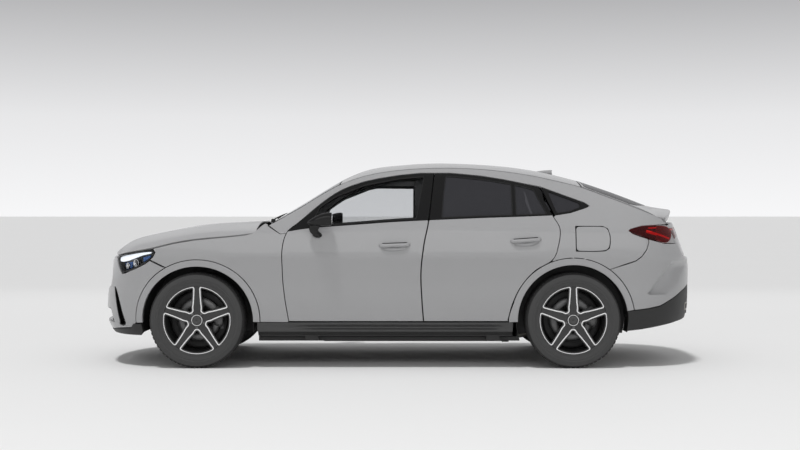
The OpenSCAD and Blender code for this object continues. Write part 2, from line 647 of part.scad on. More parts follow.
// Running gear
module arm_pair(z0, z1) {
    difference() {
        union() {
            translate([fx(axle_f) - 90, fy(430), z0]) cube([180, 60, z1 - z0]);
            translate([fx(axle_f) - 30, fy(430), z0]) cube([60, pivot_y - fy(430), z1 - z0]);
            rod([fx(axle_f), pivot_y, z0], 34, z1 - z0);
        }
    }
}
pivot_y = track_f - 80;
low_z = wheel_z - 110;
high_z = wheel_z + 165;
module subframes() color("gray") {
    both() {
        arm_pair(low_z - 30, low_z);
        arm_pair(high_z, high_z + 26);
        rod([fx(axle_f), pivot_y, low_z - 10], pivot_r, 40);
        rod([fx(axle_f), pivot_y, high_z - 30], pivot_r, 40);
        translate([fx(axle_f) - 60, fy(420), low_z - 30]) cube([120, fy(430) - fy(420) + 20, high_z + 56 - low_z]);
        rod([fx(axle_r), track_r + 45, wheel_z], spindle_r, 160, [90, 0, 0]);
        translate([fx(axle_r) - 50, fy(430), wheel_z - 60]) cube([100, track_r - 60 - fy(430), 84]);
        translate([fx(axle_r) + 100, track_r - 75, wheel_z - 70]) cube([75, 30, 140]);
        translate([fx(axle_r) - 50, track_r - 75, wheel_z - 40]) cube([160, 15, 80]);
    }
    box(-1640, -1410, -430, 430, 200, 235);
    box(-1585, -1465, -250, 250, 235, 345);
    translate([fx(axle_r) - 90, fy(-435), wheel_z - 60]) cube([180, fy(870), rear_floor - wheel_z + 60]);
}
module steer_knuckle() {
    difference() {
        union() {
            translate([fx(axle_f) - 36, pivot_y - 26, low_z + 1]) cube([72, 52, high_z - low_z - 2]);
            rod([fx(axle_f), track_f + 45, wheel_z], spindle_r, 110, [90, 0, 0]);
            translate([fx(axle_f) + 20, pivot_y - 12, wheel_z - 40]) cube([150, 24, 80]);
            translate([fx(axle_f) + 105, pivot_y - 12, wheel_z - 75]) cube([80, 42, 150]);
        }
        rod([fx(axle_f), pivot_y, low_z - 5], pivot_r + bearing_clear, 40);
        rod([fx(axle_f), pivot_y, high_z - 35], pivot_r + bearing_clear, 40);
    }
}
module knuckle_left() color("gray") mirror([0, 1, 0]) steer_knuckle();
module knuckle_right() color("gray") steer_knuckle();

rim_r = rim_d / 2;
// Window between two spokes: edges along both spokes, then the rim
spoke_half = 180 / spokes;
function spoke_edge(r, w) = [r * cos(spoke_half) + w * sin(spoke_half), r * sin(spoke_half) - w * cos(spoke_half)];
window_side = [[78, 11], spoke_edge(104, 36), spoke_edge(180, 30), spoke_edge(rim_r - 24, 27)];
spoke_window = concat(window_side,
    [for (a = [24, 12, 0, -12, -24]) (rim_r - 18) * [cos(a), sin(a)]],
    [for (i = [3 : -1 : 0]) [window_side[i][0], -window_side[i][1]]]);
module rim_half() {
    rotate([-90, 0, 0]) difference() {
        union() {
            rotate_extrude() polygon([[rim_r - 22, -110], [rim_r - 12, -110], [rim_r - 12, -100], [rim_r - 24, -90],
                [rim_r - 34, -40], [rim_r - 34, 60], [rim_r - 20, 100], [rim_r - 10, 104], [rim_r - 10, 112],
                [rim_r - 24, 112], [rim_r - 46, 70], [rim_r - 46, -40], [rim_r - 34, -92]]);
            difference() {
                translate([0, 0, 66]) cylinder(r1 = rim_r - 40, r2 = rim_r - 26, h = 36);
                for (i = [0 : spokes - 1]) rotate([0, 0, (i + 0.5) * 360 / spokes - 90]) translate([0, 0, 40])
                    linear_extrude(80) offset(r = 6) offset(delta = -6) polygon(spoke_window);
            }
            translate([0, 0, -34]) cylinder(r = 66, h = 132);
            translate([0, 0, -40]) cylinder(r = disc_r, h = 26);
        }
        translate([0, 0, -60]) cylinder(r = spindle_r + bearing_clear, h = 110);
    }
}
module tyre_ring() {
    w = tyre_w / 2;
    rotate([-90, 0, 0]) rotate_extrude($fn = 72) polygon([[rim_r - 10, 96], [rim_r + 10, 108], [rim_r + 30, w - 4],
        [wheel_r - 50, w], [wheel_r - 22, w - 10], [wheel_r - 6, w - 34], [wheel_r, 60], [wheel_r, -60],
        [wheel_r - 6, 34 - w], [wheel_r - 22, 10 - w], [wheel_r - 50, -w], [rim_r + 30, 4 - w], [rim_r + 10, -108],
        [rim_r - 10, -96], [rim_r - 10, -99.5], [rim_r - 11.8, -99.5], [rim_r - 23.5, -89.5], [rim_r - 33.5, -40],
        [rim_r - 33.5, 59.5], [rim_r - 20, 99.5], [rim_r - 10, 103.5]]);
}
module wheel_front_left() color("dimgray") mirror([0, 1, 0]) translate([fx(axle_f), track_f, wheel_z]) rim_half();
module wheel_front_right() color("dimgray") translate([fx(axle_f), track_f, wheel_z]) rim_half();
module wheel_rear_left() color("dimgray") mirror([0, 1, 0]) translate([fx(axle_r), track_r, wheel_z]) rim_half();
module wheel_rear_right() color("dimgray") translate([fx(axle_r), track_r, wheel_z]) rim_half();
module tyre_front_left() color("black") mirror([0, 1, 0]) translate([fx(axle_f), track_f, wheel_z]) tyre_ring();
module tyre_front_right() color("black") translate([fx(axle_f), track_f, wheel_z]) tyre_ring();
module tyre_rear_left() color("black") mirror([0, 1, 0]) translate([fx(axle_r), track_r, wheel_z]) tyre_ring();
module tyre_rear_right() color("black") translate([fx(axle_r), track_r, wheel_z]) tyre_ring();

module engine_block() color("gray")
    translate([fx(-1460) - engine_l / 2, -engine_w / 2, fz(345)]) cube([engine_l, engine_w, engine_h]);
module exhaust() color("gray") {
    rod([fx(900), 0, fz(188) - pipe_r], pipe_r, fx(900 + 600), [0, -90, 0]);
    rod([fx(880), 0, fz(188) - pipe_r], pipe_r + 6, fx(56), [0, 90, 0]);
    rod([fx(910), 0, fz(188) - pipe_r], pipe_r - 5, fx(960), [0, 78.6, 0]);
    both() rod([fx(2150), fy(480), fz(362)], pipe_r, fx(200), [0, -90, 0]);
    translate([fx(1830), fy(-560), fz(316)]) cube([fx(160), fy(1120), rear_floor - fz(316)]);
}

// Cabin
module dashboard() color("dimgray") {
    across([[-1040, 640], [-1040, 975], [-958, 975], [-958, 1050], [-760, 1072], [-640, 1050], [-610, 960],
        [-640, 860], [-760, 700], [-860, 640]], fy(-688), fy(688));
    box(-760, 100, -95, 95, 330, 560);
    steer_frame() {
        translate([0, 0, -190]) cylinder(r = 34, h = 175);
        translate([0, 0, -40]) cylinder(r = pin_r, h = 45);
    }
}
module steering_wheel() color("black") steer_frame() difference() {
    union() {
        rotate_extrude() translate([steer_d / 2 - steer_rim / 2, 0]) circle(r = steer_rim / 2);
        cylinder(r = 75, h = 30, center = true);
        for (a = [0, 180, 270]) rotate([0, 0, a]) translate([50, -18, -7]) cube([steer_d / 2 - 60, 36, 14]);
    }
    translate([0, 0, -30]) cylinder(r = pin_r + pin_clear, h = 36);
}
steer_p = [-470, -370, 985];
module steer_frame() {
    translate([fx(steer_p[0]), fy(steer_p[1]), fz(steer_p[2])]) rotate([0, 66, 0]) rotate([0, 0, 90]) children();
}
seat_cushion = [[-352, 330], [-374, 400], [-366, 462], [-330, 484], [-220, 476], [-60, 452], [60, 452], [110, 480],
    [132, 420], [124, 330]];
seat_back = [[70, 462], [104, 430], [160, 424], [206, 470], [262, 640], [330, 860], [362, 990], [352, 1020], [316, 1026],
    [272, 1008], [218, 880], [150, 680]];
head_pad = [[300, 1060], [332, 1046], [372, 1058], [396, 1120], [402, 1190], [384, 1206], [356, 1200], [322, 1130]];
module seat() {
    translate([fx(-310), -seat_w / 2 + 30, fz(232)]) cube([seat_l - 100, seat_w - 60, fz(99)]);
    across(seat_cushion, -seat_w / 2, seat_w / 2);
    across(seat_back, -seat_w / 2 + 12, seat_w / 2 - 12);
    across(head_pad, -135, 135);
    for (s = [-1, 1]) rod([fx(344), s * 60, fz(1000)], 7, fz(80), [0, 14, 0]);
}
module front_seats() color("tan") both() translate([0, fy(370), 0]) seat();
bench_pad = [[520, 330], [498, 420], [510, 474], [560, 484], [760, 462], [880, 466], [938, 466], [938, 330]];
bench_back = [[872, 474], [938, 470], [1000, 476], [1060, 600], [1140, 800], [1196, 940], [1178, 968], [1120, 968],
    [1066, 900], [960, 660]];
bench_head = [[1140, 990], [1172, 980], [1210, 992], [1232, 1050], [1236, 1090], [1206, 1104], [1180, 1090]];
module rear_bench() color("tan") {
    box(540, 935, -620, 620, 232, 340);
    across(bench_pad, fy(-640), fy(640));
    across(bench_back, fy(-640), fy(640));
    for (y = [-420, 0, 420]) {
        across(bench_head, fy(y) - 110, fy(y) + 110);
        for (s = [-1, 1]) rod([fx(1160), fy(y) + s * 50, fz(940)], 6, fz(70), [0, 14, 0]);
    }
}

mirror_side = [[-672, 1100], [-664, 1060], [-630, 1034], [-580, 1026], [-512, 1030], [-496, 1050], [-488, 1110],
    [-490, 1170], [-506, 1192], [-580, 1196], [-640, 1180], [-666, 1148]];
mirror_plan = [[-672, 940], [-668, 970], [-640, 1006], [-590, 1028], [-520, 1036], [-496, 1030], [-488, 1000],
    [-488, 945], [-500, 932], [-560, 927], [-640, 930]];
module mirror_body() {
    intersection() {
        across(mirror_side, 800, 1200);
        translate([0, 0, 800]) linear_extrude(600) polygon([for (p = mirror_plan) [fx(p[0]), fy(p[1])]]);
    }
    mirror_foot(0);
}
module mirror_foot(grow) {
    translate([fx(-650) - grow, fy(890) - grow, fz(1046) - grow]) cube([90 + 2 * grow, fy(48) + grow, 26 + 2 * grow]);
}
module mirror_left() color("black") mirror([0, 1, 0]) mirror_body();
module mirror_right() color("black") mirror_body();

floor_pan();
bulkhead();
side_frame_left();
side_frame_right();
roof_panel();
fender_left();
fender_right();
front_bumper();
front_grille();
rear_bumper();
lower_cladding();
headlamps();
tail_lamps();
fixed_glass();
dashboard();
front_seats();
rear_bench();
engine_block();
subframes();
cowl_wipers();
exhaust();
bonnet();
tailgate();
rear_window();
door_front_left();
door_front_right();
door_rear_left();
door_rear_right();
glass_front_left();
glass_front_right();
glass_rear_left();
glass_rear_right();
mirror_left();
mirror_right();
knuckle_left();
knuckle_right();
wheel_front_left();
wheel_front_right();
wheel_rear_left();
wheel_rear_right();
tyre_front_left();
tyre_front_right();
tyre_rear_left();
tyre_rear_right();
fuel_flap();
steering_wheel();
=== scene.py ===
"""Looks of a sport utility vehicle, dressed on the frame of its solids."""
import math

import bpy
import numpy as np
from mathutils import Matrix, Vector
from mathutils.geometry import delaunay_2d_cdt


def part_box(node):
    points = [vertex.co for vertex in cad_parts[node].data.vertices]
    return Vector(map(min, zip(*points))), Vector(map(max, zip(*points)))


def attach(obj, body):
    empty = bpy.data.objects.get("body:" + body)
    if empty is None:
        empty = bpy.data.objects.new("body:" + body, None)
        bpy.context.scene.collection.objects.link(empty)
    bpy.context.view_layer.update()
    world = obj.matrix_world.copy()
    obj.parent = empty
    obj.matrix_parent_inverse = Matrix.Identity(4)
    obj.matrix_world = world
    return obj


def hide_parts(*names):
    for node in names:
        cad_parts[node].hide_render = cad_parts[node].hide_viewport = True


bl_info = {
    "name": "Sport utility vehicle",
    "version": (1, 0, 0),
    "blender": (4, 5, 0),
    "location": "View3D > Sidebar > Vehicle",
    "description": "Dresses the frame of a sport utility vehicle",
    "category": "Object",
}

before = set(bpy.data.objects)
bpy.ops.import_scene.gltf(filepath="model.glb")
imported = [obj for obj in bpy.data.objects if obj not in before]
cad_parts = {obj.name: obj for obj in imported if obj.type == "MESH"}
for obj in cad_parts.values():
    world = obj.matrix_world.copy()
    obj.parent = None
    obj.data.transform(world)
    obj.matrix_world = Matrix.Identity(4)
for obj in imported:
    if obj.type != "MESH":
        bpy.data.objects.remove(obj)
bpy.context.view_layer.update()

# Body shape, in millimetres, front towards -x, ground at z = 0
AXLE_F = -1525.5
AXLE_R = 1362.5
WHEEL_Z = 367.0
ARCH_R = 425.0
FLARE_R = 478.0
CORNER_F = -1780.0
CORNER_R = 1640.0
ROUND_F = 2.25
ROUND_R = 2.7
SECTION = [(180, 800), (230, 850), (300, 884), (365, 900), (500, 914), (650, 922), (780, 934), (860, 940),
           (930, 934), (1020, 916), (1090, 896), (1160, 868), (1250, 822), (1350, 764), (1450, 700),
           (1520, 652), (1580, 606)]
PLAN = [(-1780, 0.97), (-1525, 0.988), (-1100, 0.996), (-600, 0.999), (0, 1), (800, 1), (1200, 0.999),
        (1500, 0.99), (1640, 0.98)]
PLAN_TOP = [(-1100, 0.885), (-900, 0.92), (-600, 0.965), (-200, 0.995), (200, 1), (700, 0.985),
            (1100, 0.95), (1500, 0.89), (1640, 0.865)]
NOSE = [(180, -2254), (232, -2294), (300, -2342), (380, -2360), (500, -2358), (600, -2348), (691, -2338),
        (790, -2315), (854, -2291), (960, -2230)]
TAIL = [(240, 2310), (297, 2335), (437, 2371), (640, 2378), (820, 2372), (900, 2344), (1037, 2294),
        (1133, 2258), (1219, 2232)]
BONNET_TOP = [(-2300, 846), (-2193, 932), (-2112, 980), (-2018, 1011), (-1905, 1036), (-1550, 1100),
              (-1200, 1124), (-1033, 1132)]
ROOF = [(-980, 1130), (-749, 1269), (-430, 1462), (-217, 1548), (33, 1583), (366, 1600), (866, 1575),
        (1200, 1525), (1450, 1464)]
RAIL = [(-980, 1092), (-749, 1224), (-593, 1322), (-430, 1413), (-217, 1485), (33, 1526), (366, 1543),
        (700, 1531), (1030, 1489), (1330, 1424), (1450, 1392), (1600, 1336), (1800, 1258), (1950, 1198),
        (2080, 1146), (2160, 1110)]
FRONT_LEAD = [(361, -818), (500, -842), (650, -860), (736, -865), (926, -865), (1051, -826), (1110, -752),
              (1339, -470), (1434, -244), (1485, 30), (1503, 215)]
FRONT_TRAIL = [(361, 209), (500, 198), (736, 189), (950, 212), (1119, 247), (1330, 275), (1503, 298)]
REAR_TRAIL = [(361, 858), (384, 862), (500, 895), (627, 957), (751, 1066), (830, 1195), (930, 1240),
              (1071, 1258), (1165, 1212), (1290, 1150), (1385, 1117), (1420, 990), (1477, 676), (1503, 400)]
BELT = [(-830, 1049), (-667, 1073), (-300, 1101), (31, 1124), (600, 1150), (1207, 1173), (1350, 1191),
        (1480, 1233), (1530, 1255)]
LAMP_F = [(-1850, 886), (-1866, 905), (-1921, 903), (-2006, 889), (-2100, 871), (-2175, 854), (-2194, 838),
          (-2188, 812), (-2166, 771), (-2133, 724), (-2108, 728), (-2008, 768), (-1931, 805), (-1868, 853)]
LAMP_R = [(1797, 1054), (1815, 1068), (1883, 1087), (1985, 1094), (2084, 1092), (2134, 1079), (2156, 1048),
          (2156, 1008), (2126, 972), (2086, 963), (1985, 985), (1883, 1014), (1825, 1035)]
DAYLIGHT = [(-1884, 891), (-1960, 885), (-2050, 870), (-2120, 857), (-2162, 846), (-2172, 832), (-2162, 811),
            (-2110, 816), (-2056, 831), (-1959, 864), (-1892, 879)]
FRONT_PANE = [(-662, 1086), (31, 1138), (161, 1145), (196, 1330), (226, 1480), (30, 1464), (-236, 1413),
              (-462, 1324), (-588, 1240)]
REAR_PANE = [(350, 1153), (620, 1164), (905, 1172), (905, 1420), (676, 1457), (480, 1478), (387, 1483),
             (366, 1330)]
REAR_PANE_B = [(925, 1173), (1172, 1182), (1118, 1290), (1080, 1374), (990, 1400), (925, 1416)]
QUARTER_EDGE = [(1227, 1177), (1350, 1194), (1480, 1236), (1500, 1248), (1462, 1271), (1344, 1315),
                (1140, 1392), (1176, 1290)]
QUARTER_PANE = [(1246, 1190), (1350, 1206), (1430, 1238), (1424, 1268), (1330, 1304), (1184, 1360)]
FLAP = [(1386, 1000), (1386, 1055), (1389, 1072), (1399, 1082), (1420, 1085), (1500, 1086), (1588, 1084),
        (1626, 1066), (1642, 1015), (1642, 965), (1632, 926), (1602, 906), (1520, 900), (1420, 901),
        (1399, 904), (1389, 914), (1386, 932)]
FLAP_HOLE = [(1379, 895), (1379, 1092), (1500, 1092), (1592, 1091), (1633, 1073), (1649, 1016), (1649, 962),
             (1641, 918), (1608, 897), (1520, 893)]
GRILLE = [(-470, 800), (470, 800), (560, 690), (500, 585), (-500, 585), (-560, 690)]
INTAKE = [(-560, 440), (560, 440), (620, 330), (-620, 330)]
MM = 0.001


def curve(table, x):
    """Smooth curve through the rows of a table."""
    rows = np.asarray(table, float)
    xs = rows[:, 0]
    ys = rows[:, 1]
    x = np.clip(np.asarray(x, float), xs[0], xs[-1])
    i = np.clip(np.searchsorted(xs, x, side="right") - 1, 0, len(xs) - 2)
    before = np.maximum(np.arange(len(xs)) - 1, 0)
    after = np.minimum(np.arange(len(xs)) + 1, len(xs) - 1)
    slope = (ys[after] - ys[before]) / (xs[after] - xs[before])
    h = xs[i + 1] - xs[i]
    u = (x - xs[i]) / h
    p = ys[i]
    q = ys[i + 1]
    a = slope[i] * h
    b = slope[i + 1] * h
    return ((2 * p - 2 * q + a + b) * u + (3 * q - 3 * p - 2 * a - b)) * u * u + a * u + p


def ease(x, a, b):
    """Smooth step from 0 at a to 1 at b."""
    t = np.clip((np.asarray(x, float) - a) / (b - a), 0, 1)
    return t * t * (3 - 2 * t)


def flank(x, z):
    """Half width of the body without its rounded ends."""
    xx = np.clip(x, CORNER_F, CORNER_R)
    t = np.clip((z - 1040) / 400, 0, 1)
    plan = curve(PLAN, xx)
    return curve(SECTION, z) * (plan + (curve(PLAN_TOP, xx) - plan) * t)


def corner(v, n):
    """Rounding of the body's ends, squarer with a higher n."""
    return np.maximum(1 - np.clip(v, 0, 1) ** n, 0) ** (1 / n)


def half(x, z):
    """Half width of the body at any place."""
    x = np.asarray(x, float)
    z = np.asarray(z, float)
    front = corner((CORNER_F - x) / (CORNER_F - curve(NOSE, z)), ROUND_F)
    rear = corner((x - CORNER_R) / (curve(TAIL, z) - CORNER_R), ROUND_R)
    return flank(x, z) * front * rear


def ridge(x, z):
    """Shoulder crease along the flank and the softer line over the rear wheel."""
    low = 6.0 * np.exp(-np.abs(z - 867) / 42) * ease(x, -1560, -1150) * (1 - ease(x, 950, 1330))
    high = 3.0 * np.exp(-np.abs(z - 1060) / 30) * ease(x, 100, 700) * (1 - ease(x, 1750, 2100))
    return low + high


def side_skin(sign, lift=0.0):
    """Outer skin of one flank over x and z."""
    def point(x, z):
        return np.stack([x, sign * (half(x, z) + ridge(x, z) + lift), z], -1)
    return point, -sign


def arc_table(length, width, n):
    """Angle and distance along a rounded end, from its middle to its side."""
    a = np.linspace(0, math.pi / 2, 2001)
    x = -length * np.cos(a) ** (2 / n)
    y = width * np.sin(a) ** (2 / n)
    s = np.concatenate([[0], np.cumsum(np.hypot(np.diff(x), np.diff(y)))])
    return a, s


class Wrap:
    """Rounded front or rear end, laid out flat as distance from the middle and height."""

    def __init__(self, end, table, side, way, n):
        self.table = table
        self.side = side
        self.way = way
        self.n = n
        self.angle, self.run = arc_table(abs(end - side), 915.0, n)
        self.full = self.run[-1]

    def reach(self, z):
        return np.abs(curve(self.table, z) - self.side)

    def from_x(self, x, z):
        """Distance for a point seen from the side."""
        share = np.clip(self.way * (np.asarray(x, float) - self.side) / self.reach(z), 0, 1)
        s = np.interp(np.arccos(share ** (self.n / 2)), self.angle, self.run)
        beyond = np.maximum(self.way * (self.side - np.asarray(x, float)), 0)
        return s + beyond

    def from_y(self, y, z):
        """Distance for a point seen from the front or the rear."""
        share = np.clip(np.abs(y) / flank(self.side, z), 0, 1)
        return np.sign(y) * np.interp(np.arcsin(share ** (self.n / 2)), self.angle, self.run)

    def skin(self, inset=0.0, lift=None):
        """Surface over distance and height, sunk by inset."""
        def point(s, z):
            s = np.asarray(s, float)
            d = np.abs(s)
            a = np.interp(np.minimum(d, self.full), self.run, self.angle)
            beyond = np.maximum(d - self.full, 0)
            x = self.side + self.way * ((self.reach(z) - inset) * np.cos(a) ** (2 / self.n) - beyond)
            y = (flank(x, z) - inset) * np.sin(a) ** (2 / self.n)
            push = ridge(x, z) if lift is None else lift(x, y, z)
            nx = self.way * np.cos(a)
            ny = np.sin(a)
            return np.stack([x + nx * push, np.sign(s + 1e-9) * (y + ny * push), z], -1)
        return point, self.way


FRONT = Wrap(-2345, NOSE, CORNER_F, -1, ROUND_F)
REAR = Wrap(2375, TAIL, CORNER_R, 1, ROUND_R)


def rounded(points, radius=12.0, steps=5):
    """Closed outline with rounded corners."""
    p = np.asarray(points, float)
    out = []
    for i in range(len(p)):
        here = p[i]
        a = p[i - 1] - here
        b = p[(i + 1) % len(p)] - here
        la = np.hypot(*a)
        lb = np.hypot(*b)
        start = here + a / la * min(radius, 0.45 * la)
        end = here + b / lb * min(radius, 0.45 * lb)
        for t in np.linspace(0, 1, steps):
            out.append((1 - t) ** 2 * start + 2 * t * (1 - t) * here + t * t * end)
    return np.array(out)


def smooth(points, closed=True, per=8):
    """Spline through points."""
    p = np.asarray(points, float)
    n = len(p)
    out = []
    for i in range(n if closed else n - 1):
        a = p[i - 1] if closed or i > 0 else p[i]
        b = p[i]
        c = p[(i + 1) % n]
        d = p[(i + 2) % n] if closed or i + 2 < n else c
        for t in np.arange(per) / per:
            out.append(0.5 * (2 * b + (c - a) * t + (2 * a - 5 * b + 4 * c - d) * t * t
                              + (3 * b - a - 3 * c + d) * t ** 3))
    if not closed:
        out.append(p[-1])
    return np.array(out)


def arc(cx, cz, r, a0, a1, n=40):
    """Points on a circle, angles in degrees."""
    a = np.radians(np.linspace(a0, a1, n))
    return np.stack([cx + r * np.cos(a), cz + r * np.sin(a)], -1)


def arch(axle, r, a0, a1, n=40):
    """Edge of a wheel arch, a little wider than high at the front."""
    middle = np.array([axle, WHEEL_Z])
    return middle + (arc(0, 0, r, a0, a1, n) * ([1.012, 0.972] if axle < 0 else [1, 1]))


def area(loop):
    """Signed area of an outline."""
    x = loop[:, 0]
    y = loop[:, 1]
    return 0.5 * np.sum(x * np.roll(y, -1) - y * np.roll(x, -1))


def inset(loop, distance):
    """Outline moved to its left side."""
    ahead = np.roll(loop, -1, 0) - loop
    ahead /= np.maximum(np.linalg.norm(ahead, axis=1, keepdims=True), 1e-9)
    behind = np.roll(ahead, 1, 0)
    left = np.stack([-(ahead[:, 1] + behind[:, 1]), ahead[:, 0] + behind[:, 0]], -1)
    size = np.linalg.norm(left, axis=1, keepdims=True)
    left /= np.maximum(size, 1e-9)
    return loop + left * distance / np.maximum(size / 2, 0.5)


def even(loop, step):
    """Outline without tiny edges and with long ones divided."""
    loop = np.asarray(loop, float)
    keep = [loop[0]]
    for p in loop[1:]:
        if np.hypot(*(p - keep[-1])) > 1.5:
            keep.append(p)
    if np.hypot(*(keep[-1] - keep[0])) < 1.5:
        keep.pop()
    out = []
    for i, p in enumerate(keep):
        q = keep[(i + 1) % len(keep)]
        n = max(1, int(math.ceil(np.hypot(*(q - p)) / step)))
        for k in range(n):
            out.append(p + (q - p) * k / n)
    return np.array(out)


def paced(line, step):
    """Open line divided into even steps."""
    line = np.asarray(line, float)
    run = np.concatenate([[0], np.cumsum(np.hypot(*np.diff(line, axis=0).T))])
    t = np.linspace(0, run[-1], max(2, int(run[-1] / step) + 1))
    return np.stack([np.interp(t, run, line[:, 0]), np.interp(t, run, line[:, 1])], -1)


def inside(points, loops):
    """Which points lie inside the first outline and outside the others."""
    odd = np.zeros(len(points), bool)
    for loop in loops:
        a = loop
        b = np.roll(loop, -1, 0)
        rising = (a[:, 1][None] > points[:, 1][:, None]) != (b[:, 1][None] > points[:, 1][:, None])
        run = np.where(np.abs(b[:, 1] - a[:, 1]) < 1e-9, 1e-9, b[:, 1] - a[:, 1])
        cross = a[:, 0][None] + (points[:, 1][:, None] - a[:, 1][None]) * ((b[:, 0] - a[:, 0]) / run)[None]
        odd ^= (np.sum(rising & (points[:, 0][:, None] < cross), 1) % 2).astype(bool)
    return odd


def clear_of(points, others, distance):
    """Which points keep their distance from the others."""
    if not len(others) or not len(points):
        return np.ones(len(points), bool)
    near = np.full(len(points), 1e9)
    for start in range(0, len(others), 200):
        gap = points[:, None] - others[None, start:start + 200]
        near = np.minimum(near, np.min(gap[..., 0] ** 2 + gap[..., 1] ** 2, 1))
    return near > distance * distance


def fill(loops, step, lines=()):
    """Even triangles over the area of the outlines, and the place of each outline's points in them."""
    edge = np.concatenate(loops)
    edges = []
    start = 0
    for loop in loops:
        n = len(loop)
        edges += [(start + i, start + (i + 1) % n) for i in range(n)]
        start += n
    points = [edge]
    guide = np.zeros((0, 2))
    for line in lines:
        spots = paced(line, step * 0.8)
        ok = inside(spots, loops) & clear_of(spots, edge, step * 0.45)
        for i in range(len(spots)):
            if ok[i]:
                if i and ok[i - 1]:
                    edges.append((start - 1, start))
                points.append(spots[i:i + 1])
                start += 1
        guide = np.concatenate([guide, spots[ok]])
    low = loops[0].min(0)
    high = loops[0].max(0)
    rows = np.arange(low[1] + step / 2, high[1], step * 0.87)
    cols = np.arange(low[0] + step / 2, high[0], step)
    grid = [(c + (step / 2 if k % 2 else 0), r) for k, r in enumerate(rows) for c in cols]
    grid = np.array(grid).reshape(-1, 2)
    if len(grid):
        grid = grid[inside(grid, loops)]
        grid = grid[clear_of(grid, edge, step * 0.6)]
        grid = grid[clear_of(grid, guide, step * 0.6)]
        points.append(grid)
    cloud = [Vector((float(p[0]), float(p[1]))) for p in np.concatenate(points)]
    verts, _, faces, origin, _, _ = delaunay_2d_cdt(cloud, edges, [], 0, 1e-4)
    spots = np.array([tuple(v) for v in verts])
    tris = np.array([f for f in faces if len(f) == 3])
    tris = tris[inside(spots[tris].mean(1), loops)]
    a = spots[tris[:, 1]] - spots[tris[:, 0]]
    b = spots[tris[:, 2]] - spots[tris[:, 0]]
    turn = a[:, 0] * b[:, 1] - a[:, 1] * b[:, 0]
    tris[turn < 0] = tris[turn < 0][:, ::-1]
    place = {}
    for new, olds in enumerate(origin):
        for old in olds:
            place[old] = new
    return spots, tris, [place[i] for i in range(len(edge))]


def outward(surface, uv):
    """Unit normals of a surface."""
    point, way = surface
    e = 0.6
    u = uv[:, 0]
    v = uv[:, 1]
    n = np.cross(point(u + e, v) - point(u - e, v), point(u, v + e) - point(u, v - e))
    size = np.linalg.norm(n, axis=1, keepdims=True)
    return way * n / np.maximum(size, 1e-12)


